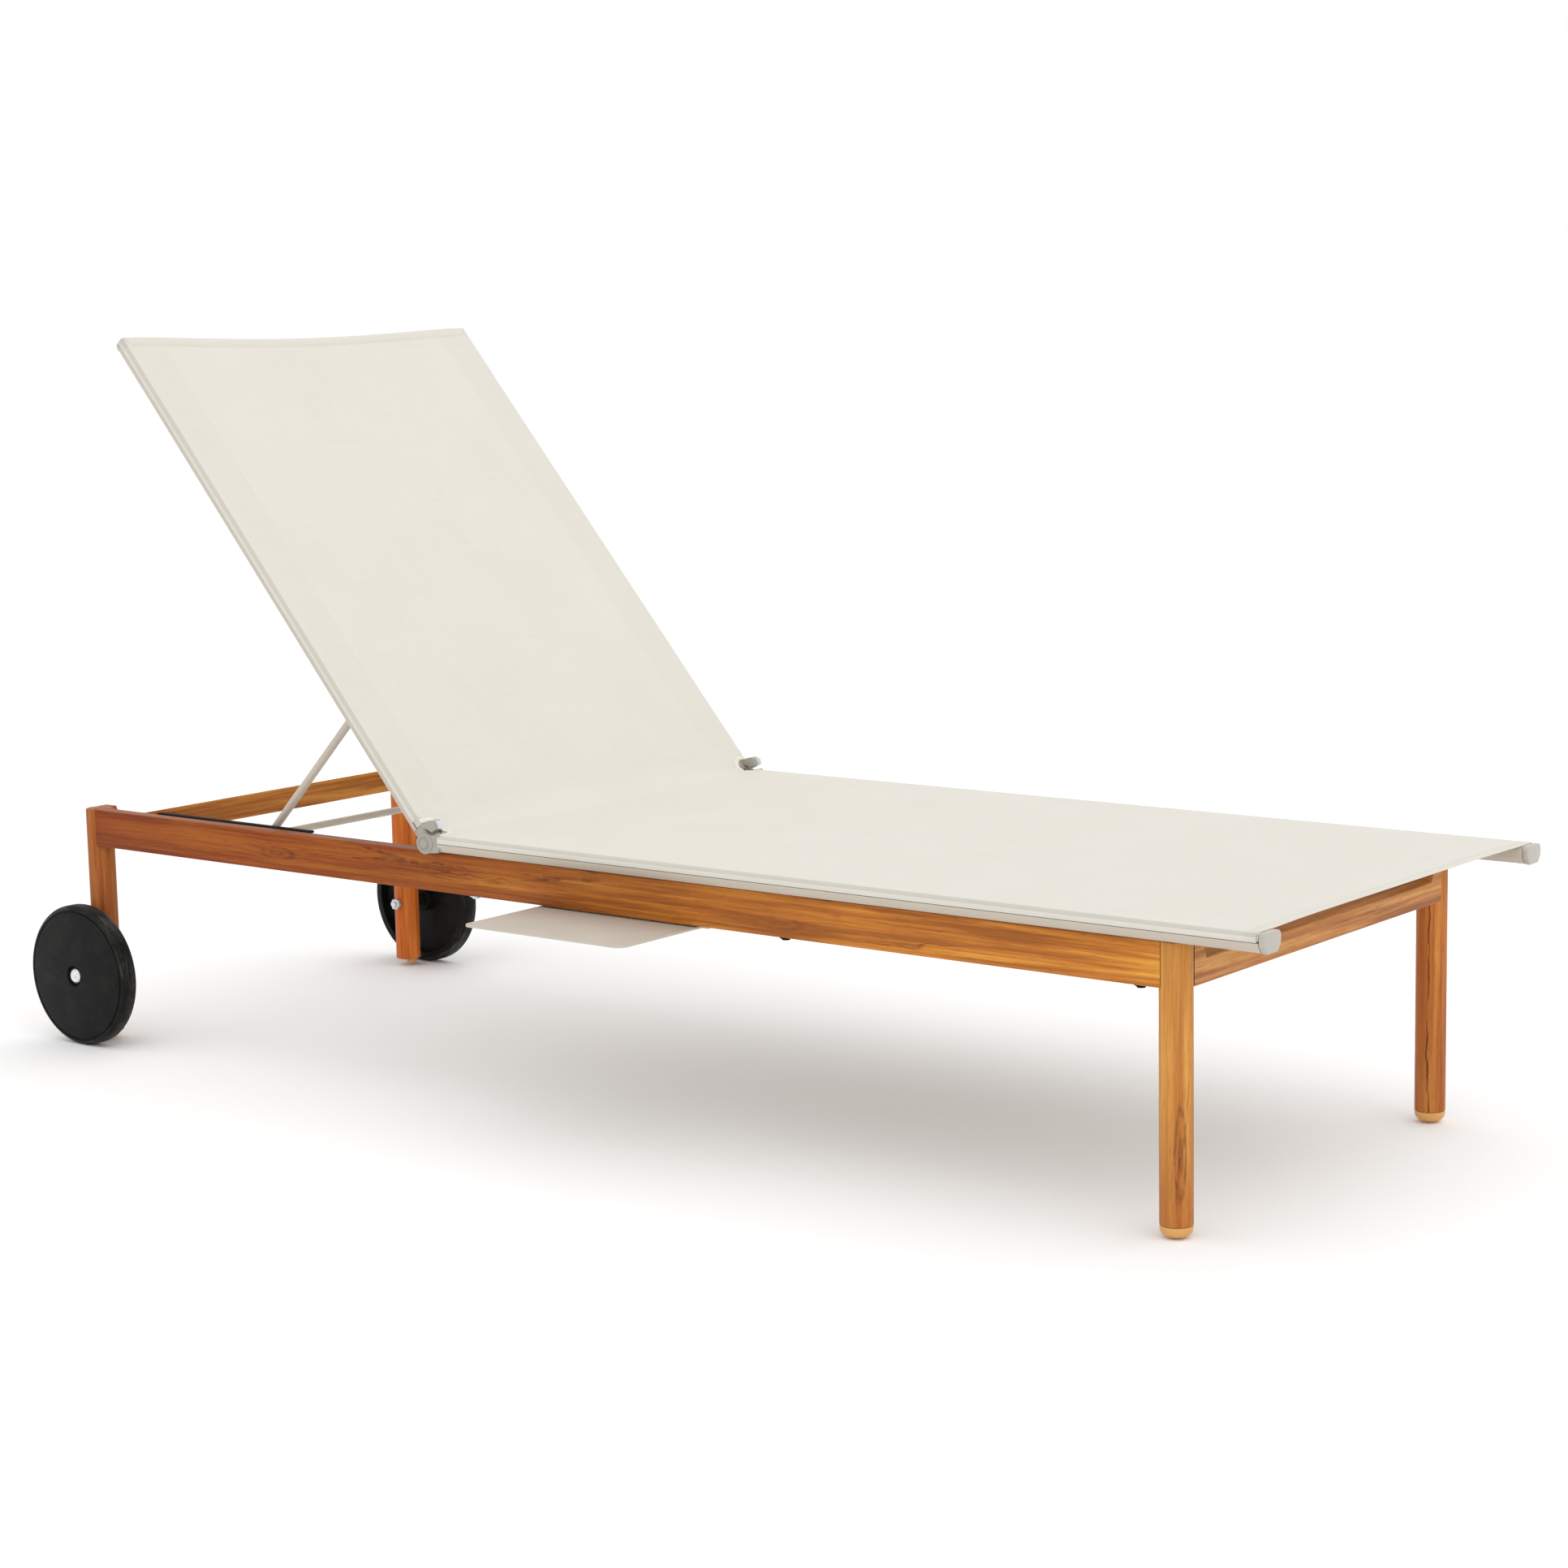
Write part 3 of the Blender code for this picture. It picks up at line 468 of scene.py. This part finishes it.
# ---------------------------------------------------------------- mesh helpers
def smooth_finish():
    """A node group that shades smoothly across edges of less than 32 degrees."""
    group = bpy.data.node_groups.new("smooth_finish", "GeometryNodeTree")
    group.interface.new_socket("Geometry", in_out="INPUT", socket_type="NodeSocketGeometry")
    group.interface.new_socket("Geometry", in_out="OUTPUT", socket_type="NodeSocketGeometry")
    enter = group.nodes.new("NodeGroupInput")
    leave = group.nodes.new("NodeGroupOutput")
    faces = group.nodes.new("GeometryNodeSetShadeSmooth")
    edges = group.nodes.new("GeometryNodeSetShadeSmooth")
    edges.domain = "EDGE"
    edges.inputs["Shade Smooth"].default_value = False
    angle = group.nodes.new("GeometryNodeInputMeshEdgeAngle")
    compare = group.nodes.new("FunctionNodeCompare")
    compare.data_type = "FLOAT"
    compare.operation = "GREATER_THAN"
    compare.inputs[1].default_value = radians(32)
    links = group.links
    links.new(enter.outputs[0], faces.inputs[0])
    links.new(faces.outputs[0], edges.inputs[0])
    links.new(angle.outputs["Unsigned Angle"], compare.inputs[0])
    links.new(compare.outputs[0], edges.inputs["Selection"])
    links.new(edges.outputs[0], leave.inputs[0])
    return group


SMOOTH = smooth_finish()


def dress(node_name, material):
    """Give a CAD node its finish: a material, and smooth shading on its round faces."""
    part = frame["nodes"][node_name]
    for slot in part.material_slots:
        slot.material = material
    joined = part.modifiers.new("join faces", "WELD")
    joined.merge_threshold = 0.00001
    shading = part.modifiers.new("smooth", "NODES")
    shading.node_group = SMOOTH


def to_mesh(bm, name, outward=True):
    if outward:
        bmesh.ops.recalc_face_normals(bm, faces=bm.faces)
    mesh = bpy.data.meshes.new(name)
    bm.to_mesh(mesh)
    bm.free()
    return mesh


def add_object(name, data):
    made = bpy.data.objects.new(name, data)
    bpy.context.scene.collection.objects.link(made)
    return made


def add_piece(name, mesh, material, sharp=35):
    """A new visible piece, smooth but for edges sharper than that angle."""
    made = add_object(name, mesh)
    mesh.materials.append(material)
    mesh.polygons.foreach_set("use_smooth", [True] * len(mesh.polygons))
    mesh.set_sharp_from_angle(angle=radians(sharp))
    return made


def arc(centre, radius, start, end, steps):
    turns = [radians(start + (end - start) * i / steps) for i in range(steps + 1)]
    return [(centre[0] + radius * cos(t), centre[1] + radius * sin(t)) for t in turns]


def prism(outline, pull):
    """A flat outline of points in space, pulled along a vector."""
    bm = bmesh.new()
    face = bm.faces.new([bm.verts.new(point) for point in outline])
    pulled = bmesh.ops.extrude_face_region(bm, geom=[face])["geom"]
    moved = [item for item in pulled if isinstance(item, bmesh.types.BMVert)]
    bmesh.ops.translate(bm, verts=moved, vec=pull)
    bmesh.ops.recalc_face_normals(bm, faces=bm.faces)
    return bm


def is_rim(edge, axis):
    """True for an edge of a prism's two ends, the prism being pulled along that axis."""
    return abs(edge.verts[0].co[axis] - edge.verts[1].co[axis]) < 1e-7


def plate(outline, side, depth, rounding, segments=3):
    """An x-z outline pulled along y over (near, far), mirrored by side, its edges rounded."""
    near, far = (side * y for y in depth)
    bm = prism([(x, near, z) for x, z in outline], (0, far - near, 0))
    rims = [edge for edge in bm.edges if is_rim(edge, 1) or edge.calc_face_angle(0) > radians(40)]
    bmesh.ops.bevel(bm, geom=rims, offset=rounding, segments=segments, affect="EDGES",
                    profile=0.5, clamp_overlap=True)
    return bm


def turned(profile, steps):
    """Spin (radius, y) points about the y axis; the first and last lie on it."""
    bm = bmesh.new()
    verts = [bm.verts.new((radius, y, 0)) for radius, y in profile]
    edges = [bm.edges.new(pair) for pair in zip(verts, verts[1:])]
    bmesh.ops.spin(bm, geom=verts + edges, cent=(0, 0, 0), axis=(0, 1, 0), angle=2 * pi,
                   steps=steps, use_merge=True)
    bmesh.ops.remove_doubles(bm, verts=bm.verts, dist=1e-6)
    return bm


def moved_by(bm, matrix):
    bmesh.ops.transform(bm, matrix=matrix, verts=bm.verts)
    return bm


# ---------------------------------------------------------------- the cloth's surface
def ease(value, low, high):
    t = min(1.0, max(0.0, (value - low) / (high - low)))
    return t * t * (3 - 2 * t)


ACROSS_DOWN = SIDE_R * pi / 2
ACROSS_STRAIGHT = CLOTH_Z - SIDE_R - SLOT_Z - TURN_IN_R
ACROSS_IN = TURN_IN_R * pi / 2
CLOTH_HALF = FLAT_HALF + ACROSS_DOWN + ACROSS_STRAIGHT + ACROSS_IN + 0.0035


def across_rail(v):
    """Distance v across the cloth as (y, rise): flat, round the rail's crown, into its slot."""
    side = 1 if v >= 0 else -1
    rest = abs(v) - FLAT_HALF
    if rest <= 0:
        return v, 0.0
    if rest < ACROSS_DOWN:
        turn = rest / SIDE_R
        return side * (FLAT_HALF + SIDE_R * sin(turn)), SIDE_R * (cos(turn) - 1)
    rest -= ACROSS_DOWN
    edge = FLAT_HALF + SIDE_R
    if rest < ACROSS_STRAIGHT:
        return side * edge, -SIDE_R - rest
    rest -= ACROSS_STRAIGHT
    low = -SIDE_R - ACROSS_STRAIGHT
    if rest < ACROSS_IN:
        turn = rest / TURN_IN_R
        return side * (edge - TURN_IN_R * (1 - cos(turn))), low - TURN_IN_R * sin(turn)
    rest -= ACROSS_IN
    return side * (edge - TURN_IN_R - rest), low - TURN_IN_R


def fold(u, y):
    """The cloth's line from foot to back top, at u from the fold: (x, z, normal x, normal z)."""
    radius = 0.012 + 0.075 * (1 - ease(abs(y), 0.16, 0.30))
    tangent = radius * tan(BACK_ANGLE / 2)
    start = CORNER_X + tangent
    if u >= tangent:
        return CORNER_X + u, CLOTH_Z, 0.0, 1.0
    if u <= -tangent:
        rest = -u
        return (CORNER_X - rest * cos(BACK_ANGLE), CLOTH_Z + rest * sin(BACK_ANGLE),
                sin(BACK_ANGLE), cos(BACK_ANGLE))
    turn = BACK_ANGLE * (tangent - u) / (2 * tangent)
    return (start - radius * sin(turn), CLOTH_Z + radius * (1 - cos(turn)), sin(turn), cos(turn))


def cloth_point(u, v):
    """A point of the cloth's middle surface: it dips between the rails and draws in at its ends."""
    y, rise = across_rail(v)
    slack = max(0.0, 1 - (y / RAIL_INNER) ** 2)
    along = u
    if u > 0:
        along -= FOOT_BOW * slack * ease(u, CLOTH_SEAT - 0.30, CLOTH_SEAT)
        dip = SEAT_DIP * slack ** 2 * ease(u, 0.02, 0.30)
        dip *= 1 - 0.55 * ease(u, CLOTH_SEAT - 0.35, CLOTH_SEAT)
    else:
        along += TOP_BOW * slack * ease(-u, CLOTH_BACK - 0.20, CLOTH_BACK)
        dip = BACK_DIP * slack ** 2 * ease(-u, 0.02, 0.25)
    x, z, nx, nz = fold(along, y)
    rise -= dip
    return HINGE + Vector((x + nx * rise, y, z + nz * rise))


def cloth_normal(u, v):
    step = 0.0004
    along = cloth_point(u + step, v) - cloth_point(u - step, v)
    over = cloth_point(u, v + step) - cloth_point(u, v - step)
    return along.cross(over).normalized()


def notch_edge(u):
    """How far out the cloth reaches beside the hinge, at u from the fold."""
    straight = NOTCH_HALF - NOTCH_R
    past = max(0.0, abs(u) - straight)
    return NOTCH_DEPTH_Y + NOTCH_R - sqrt(max(0.0, NOTCH_R ** 2 - past ** 2))


def spaced(marks):
    """Values from (start, end, count) stretches laid end to end."""
    values = []
    for start, end, count in marks:
        values += [start + (end - start) * i / count for i in range(count)]
    values.append(marks[-1][1])
    return values


def cloth_sheet():
    """The whole sling as one sheet: rows along its length, columns across its width.

    A hair beyond the notch the rows reach full width again.
    """
    hair = 0.0002
    rows = spaced(((-CLOTH_BACK, -CLOTH_BACK + 0.20, 8), (-CLOTH_BACK + 0.20, -0.10, 16),
                   (-0.10, -NOTCH_HALF - hair, 9), (-NOTCH_HALF, -0.0075, 10), (-0.0075, 0.0075, 6),
                   (0.0075, NOTCH_HALF, 10), (NOTCH_HALF + hair, 0.10, 9),
                   (0.10, FOOT_U - 0.20, 24), (FOOT_U - 0.20, FOOT_U, 8)))
    inner = [CORE_HALF * i / 18 for i in range(-18, 19)]
    outer = [i / 30 for i in range(1, 31)]
    bm = bmesh.new()
    layer = bm.loops.layers.uv.new("flat_cut")
    grid, flat = [], {}
    for u in rows:
        reach = notch_edge(u) if abs(u) <= NOTCH_HALF else CLOTH_HALF
        columns = [-CORE_HALF - (reach - CORE_HALF) * t for t in reversed(outer)]
        columns += inner
        columns += [CORE_HALF + (reach - CORE_HALF) * t for t in outer]
        line = []
        for v in columns:
            vert = bm.verts.new(cloth_point(u, v))
            flat[vert] = (u, v)
            line.append(vert)
        grid.append(line)
    for first, second in zip(grid, grid[1:]):
        for i in range(len(first) - 1):
            face = bm.faces.new((first[i], second[i], second[i + 1], first[i + 1]))
            for loop in face.loops:
                loop[layer].uv = flat[loop.vert]
    return to_mesh(bm, "sling", outward=False)


def edging(name, path, inward, width, lift, material):
    """A folded strip along an edge of the cloth.

    path holds its points in the cloth's flat cut, and inward the direction into the cloth at each.
    """
    section = [(-0.0009, 0.0), (-0.0005, lift * 0.75), (0.0006, lift), (width - 0.0008, lift),
               (width, lift * 0.35), (width, -lift * 0.35), (width - 0.0008, -lift),
               (0.0006, -lift), (-0.0005, -lift * 0.75)]
    bm = bmesh.new()
    layer = bm.loops.layers.uv.new("flat_cut")
    rings, flat = [], {}
    for (u, v), (du, dv) in zip(path, inward):
        ring = []
        for into, height in section:
            spot = (u + du * into, v + dv * into)
            vert = bm.verts.new(cloth_point(*spot) + cloth_normal(*spot) * height)
            flat[vert] = spot
            ring.append(vert)
        rings.append(ring)
    for first, second in zip(rings, rings[1:]):
        for i in range(len(section)):
            j = (i + 1) % len(section)
            bm.faces.new((first[i], first[j], second[j], second[i]))
    bm.faces.new(rings[0])
    bm.faces.new(rings[-1])
    for face in bm.faces:
        for loop in face.loops:
            loop[layer].uv = flat[loop.vert]
    return add_piece(name, to_mesh(bm, name), material, 50)


def across_fold(piece):
    """Bake the placement of cloth that crosses the hinge line into its mesh; its bend between the
    seat and the back is already in its shape.
    """
    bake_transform(piece)
    return piece


def notch_path(side):
    """Points and inward directions round a hinge notch, in the flat cut."""
    straight = NOTCH_HALF - NOTCH_R
    depth = NOTCH_DEPTH_Y + NOTCH_R
    points = [(-NOTCH_HALF, FLAT_HALF + 0.004), (-NOTCH_HALF, FLAT_HALF - 0.003)]
    points += [(-straight + x, depth + y) for x, y in arc((0, 0), NOTCH_R, 180, 270, 12)]
    points += [(straight + x, depth + y) for x, y in arc((0, 0), NOTCH_R, 270, 360, 12)]
    points += [(NOTCH_HALF, FLAT_HALF - 0.003), (NOTCH_HALF, FLAT_HALF + 0.004)]
    inward = []
    for i, (u, v) in enumerate(points):
        before = points[max(0, i - 1)]
        after = points[min(len(points) - 1, i + 1)]
        du, dv = after[0] - before[0], after[1] - before[1]
        size = hypot(du, dv)
        inward.append((dv / size, -du / size))
    points = [(u, side * v) for u, v in points]
    inward = [(du, side * dv) for du, dv in inward]
    return points, inward


# ---------------------------------------------------------------- finishes
BOARDS = {
    # rail_right: its colour is lifted for painted light toward the foot, and its last entry tints
    # the head end darker and redder, partly the board's own redder tone and partly painted shade.
    "rail_right": dict(
        grain="x", seed=3.0, colour=(0.575, 0.202, 0.028), pith=(0.030, 0.020), veins=0.9,
        eyes=(((-0.520, -0.275, 0.305), 0.035, 0.009, 0.45),
              ((0.335, -0.275, 0.298), 0.040, 0.008, 0.45),
              ((-0.180, -0.275, 0.303), 0.070, 0.005, 0.45)),
        painted_shade=(-0.55, 0.65, (0.453, 0.255, 0.115))),
    "rail_left": dict(grain="x", seed=8.0, colour=(0.420, 0.135, 0.024), veins=0.6),
    "foot_cross_rail": dict(
        grain="y", seed=5.0, colour=(0.520, 0.205, 0.052), pith=(0.060, 0.045), veins=0.15),
    "head_cross_rail": dict(grain="y", seed=6.5, colour=(0.470, 0.155, 0.022)),
    # The front legs: the last entry of each darkens it toward the floor, painted shade;
    # front_leg_right's colour is lifted for painted light toward its top.
    "front_leg_right": dict(
        grain="z", seed=2.2, colour=(0.615, 0.270, 0.056), pith=(0.030, 0.046), figure=0.35,
        veins=0.0, eyes=(((0.8848, -0.2716, 0.098), 0.055, 0.0075, 0.72),), calm=1.9,
        painted_shade=(0.05, 0.25, (0.80, 0.66, 0.62))),
    "front_leg_left": dict(
        grain="z", seed=4.4, colour=(0.530, 0.172, 0.031), veins=1.3, calm=1.3,
        cracks=(((0.8658, 0.3436, 0.2), (0.787, 0.617, 0.0)),),
        painted_shade=(0.05, 0.27, (0.80, 0.72, 0.76))),
    "rear_leg_right": dict(grain="z", seed=7.1, colour=(0.350, 0.100, 0.018)),
    "rear_leg_left": dict(grain="z", seed=9.3, colour=(0.630, 0.158, 0.022)),
}
CAP_WOOD = coated("tan_cap", (0.66, 0.34, 0.105), 0.40, 0.06)
GREIGE = coated("greige_coat", (0.530, 0.470, 0.390), 0.40, 0.03)
TRAY_COAT = coated("tray_coat", (0.525, 0.480, 0.412), 0.45, 0.03, grain=1100.0)
CASTING = coated("grey_casting", (0.345, 0.325, 0.275), 0.38, 0.05)
END_CAP = coated("end_cap", (0.450, 0.420, 0.370), 0.35, 0.04)
BRIGHT = coated("bright_insert", (0.62, 0.64, 0.66), 0.30, 0.03)
NYLON = coated("white_nylon", (0.72, 0.71, 0.66), 0.45, 0.05)
BLACK = black_plastic("rack_plastic", 0.006, 0.06, 0.62, 0.06)
SPACER = black_plastic("spacer_plastic", 0.008, 0.05, 0.5)
ZINC = zinc("zinc_plate")
CLOTH = sling_cloth("sling_cloth")
HEM = sling_cloth("sling_hem")
BINDING = thread_cloth("binding_tape", (0.76, 0.725, 0.645))

for name, look in BOARDS.items():
    dress(name, wood("wood_" + name, **look))
for side_name, side in SIDES:
    for name in ("front_foot_cap_", "rear_leg_plug_"):
        dress(name + side_name, CAP_WOOD)
    for name in ("seat_rail_", "back_rail_", "strut_leg_"):
        dress(name + side_name, GREIGE)
    for name in ("seat_rail_cap_", "back_rail_cap_"):
        dress(name + side_name, END_CAP)
    for name in ("axle_bolt_", "axle_nut_"):
        dress(name + side_name, ZINC)
    dress("rack_" + side_name, BLACK)
    dress("axle_spacer_" + side_name, SPACER)
    dress("wheel_" + side_name, wheel_plastic("wheel_plastic_" + side_name, AXLE))
    for number in (1, 2, 3):
        dress("seat_pad_%s_%d" % (side_name, number), NYLON)
        dress("seat_bolt_%s_%d" % (side_name, number), ZINC if number == 1 else BLACK)
for name in ("spreader_tube_middle", "spreader_tube_foot", "back_tube_upper", "back_tube_lower",
             "strut_crossbar", "tray_guide_head", "tray_guide_foot"):
    dress(name, GREIGE)
dress("side_tray", TRAY_COAT)

# ---------------------------------------------------------------- sling
sling = add_piece("sling", cloth_sheet(), CLOTH, 60)
thickness = sling.modifiers.new("cloth thickness", "SOLIDIFY")
thickness.thickness = CLOTH_THICK
thickness.offset = 0.0
across_fold(sling)
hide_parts("sling_seat", "sling_back")

ACROSS = [i * HEM_HALF / 40 for i in range(-40, 41)]
foot_hem = edging("sling_hem_foot", [(FOOT_U, v) for v in ACROSS], [(-1, 0)] * len(ACROSS),
                  HEM_WIDTH, FOOT_HEM_LIFT, HEM)
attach(foot_hem, "frame")
top_hem = edging("sling_hem_top", [(-CLOTH_BACK, v) for v in ACROSS], [(1, 0)] * len(ACROSS),
                 HEM_WIDTH, TOP_HEM_LIFT, HEM)
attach(top_hem, "back")
for side_name, side in SIDES:
    path, inward = notch_path(side)
    across_fold(edging("notch_binding_" + side_name, path, inward, 0.0062, 0.0014,
                                       BINDING))

# ---------------------------------------------------------------- hinges
# Outlines are (x, z) from the pivot; the cap's is (radius, y).
HORN = [(-0.0062, 0.0235), (0.0050, 0.0292), (0.0145, 0.0312), (0.0170, 0.0298),
        (0.0205, 0.0202)] + arc((0, 0), 0.0185, 52, 128, 10)
NECK = (arc((0, 0), 0.0140, 62, 262, 28)
        + [(0.0120, -0.0118), (0.0217, -0.0112), (0.0255, -0.0060), (0.0262, 0.0120),
           (0.0240, 0.0148), (0.0165, 0.0122), (0.0115, 0.0112)])
INSERT = [(0.0180, 0.0200), (0.0265, 0.0206), (0.0238, 0.0298), (0.0175, 0.0306),
          (0.0150, 0.0290)]
KNUCKLE = arc((0, 0), 0.0118, 0, 352.5, 47)
CAP = [(0, 0.0200), (0.0060, 0.0200), (0.0066, 0.0198), (0.0069, 0.0190), (0.0073, 0.0190),
       (0.0076, 0.0198), (0.0081, 0.0199), (0.0087, 0.0195), (0.0089, 0.0186), (0.0100, 0.0183),
       (0.0126, 0.0183), (0.0136, 0.0179), (0.0140, 0.0172), (0.0140, 0.0160), (0.0040, 0.0160),
       (0.0040, -0.0125), (0, -0.0125)]
CAP_STEPS = 48
NECK_DEPTH = (0.0045, 0.0168)
HORN_DEPTH = (0.0040, 0.0163)
KNUCKLE_DEPTH = (-0.0132, 0.0041)
INSERT_DEPTH = (0.0090, 0.0132)
COLLAR_FAR = 0.0217
COLLAR_NEAR = 0.0163
BACK_COLLAR_NEAR = 0.0083


def rail_section(side):
    """The rail's closed section about its middle: (y, z)."""
    half, top, low = 0.0175, 0.0117, -0.0107
    points = arc((-half + 0.006, top - 0.006), 0.006, 180, 90, 5)
    points += arc((half - 0.006, top - 0.006), 0.006, 90, 0, 5)
    points += [(half - 0.0006, -0.0030)]
    points += arc((0.0090, low + 0.0040), 0.0040, -35, -90, 4)
    points += arc((-0.0090, low + 0.0040), 0.0040, -90, -145, 4)
    points += [(-half + 0.0006, -0.0030)]
    return [(side * y, z) for y, z in points]


def collar(side, near, far):
    """A block with the rail's section, from near to far along the rail, its ends rounded."""
    bm = prism([(near, y, z) for y, z in rail_section(side)], (far - near, 0, 0))
    rims = [edge for edge in bm.edges if is_rim(edge, 0)]
    bmesh.ops.bevel(bm, geom=rims, offset=0.0007, segments=2, affect="EDGES", profile=0.5)
    return bm


def add_hinge(side_name, side):
    """One hinge's castings and pin, drawn about its axis with the back at its rest angle."""
    centre = Matrix.Translation((HINGE.x, MID_Y + side * RAIL_MIDDLE, HINGE.z))

    def fitting(name, bm, material, body, *stands_for):
        piece = add_piece(name + side_name, to_mesh(moved_by(bm, centre), name), material)
        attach(piece, body)
        if stands_for:
            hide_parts(*stands_for)

    fitting("hinge_neck_", plate(NECK, side, NECK_DEPTH, 0.0011), CASTING, "frame",
            "hinge_seat_" + side_name)
    fitting("hinge_collar_seat_", collar(side, COLLAR_NEAR, COLLAR_FAR), CASTING, "frame")
    fitting("hinge_horn_", plate(HORN, side, HORN_DEPTH, 0.0012), CASTING, "back",
            "hinge_back_" + side_name)
    fitting("hinge_knuckle_", plate(KNUCKLE, side, KNUCKLE_DEPTH, 0.0010), CASTING, "back")
    back_collar = collar(side, -BACK_COLLAR_NEAR, -COLLAR_FAR)
    fitting("hinge_collar_back_", moved_by(back_collar, BACK_TURN), CASTING, "back")
    fitting("hinge_insert_", plate(INSERT, side, INSERT_DEPTH, 0.0005, 2), BRIGHT, "back")
    fitting("hinge_cap_", turned([(r, side * y) for r, y in CAP], CAP_STEPS), CASTING, "frame",
            "hinge_pin_" + side_name)


for side_name, side in SIDES:
    add_hinge(side_name, side)


# ---------------------------------------------------------------- floor, light and camera
FLOOR_HALF = 30
FLOOR_Z = -0.0004            # a hair below the feet, so that no face lies in the floor
CAMERA_SPOT = (2.6645, -3.2277, 1.0314)
CAMERA_AZIMUTH, CAMERA_PITCH, CAMERA_ROLL = 38.106, 8.572, -1.1329
CAMERA_LENS = 74.28


def add_floor():
    bm = bmesh.new()
    bmesh.ops.create_grid(bm, x_segments=2, y_segments=2, size=FLOOR_HALF,
                          matrix=Matrix.Translation((0, 0, FLOOR_Z)))
    mesh = to_mesh(bm, "floor", outward=False)
    made = add_object("floor", mesh)
    material, tree, shader = new_material("pale_floor", 0.9, 0.0, 0.0)
    spot = part_coords(tree)
    cloud = noise(tree, spot, 0.8, 2.0)
    tree.links.new(ramp(tree, cloud, ((0.3, grey(0.93)), (0.7, grey(0.95)))),
                   shader.inputs["Base Color"])
    mesh.materials.append(material)


def add_sun(name, heading, height, spread, strength):
    """Even light from a compass heading (0 is +X, 90 is +Y) and a height above the floor."""
    data = bpy.data.lights.new(name, "SUN")
    data.energy = strength
    data.angle = radians(spread)
    made = add_object(name, data)
    heading, height = radians(heading), radians(height)
    toward = Vector((cos(heading) * cos(height), sin(heading) * cos(height), sin(height)))
    made.rotation_euler = toward.to_track_quat("Z", "Y").to_euler()


def add_camera():
    """The photo's own viewpoint: its azimuth, its pitch below level, its roll and its lens."""
    azimuth, pitch, roll = (radians(a) for a in (CAMERA_AZIMUTH, CAMERA_PITCH, CAMERA_ROLL))
    ahead = Vector((-sin(azimuth) * cos(pitch), cos(azimuth) * cos(pitch), -sin(pitch)))
    level = Vector((cos(azimuth), sin(azimuth), 0))
    up = level.cross(ahead)
    across = cos(roll) * level + sin(roll) * up
    rise = cos(roll) * up - sin(roll) * level
    turn = Matrix((across, rise, -ahead)).transposed().to_4x4()
    data = bpy.data.cameras.new("camera")
    data.lens = CAMERA_LENS
    data.sensor_width = 36
    data.clip_end = 100
    made = add_object("camera", data)
    made.matrix_world = Matrix.Translation(CAMERA_SPOT) @ turn
    bpy.context.scene.camera = made


add_floor()
world = bpy.data.worlds.new("studio")
world.use_nodes = True
sky = world.node_tree.nodes["Background"]
sky.inputs["Color"].default_value = (1.0, 1.0, 1.0, 1.0)
sky.inputs["Strength"].default_value = 1.0
bpy.context.scene.world = world
bpy.context.scene.view_settings.view_transform = "Standard"
add_sun("key", -35, 40, 70, 0.52)
add_sun("top", 60, 78, 80, 0.38)
add_camera()
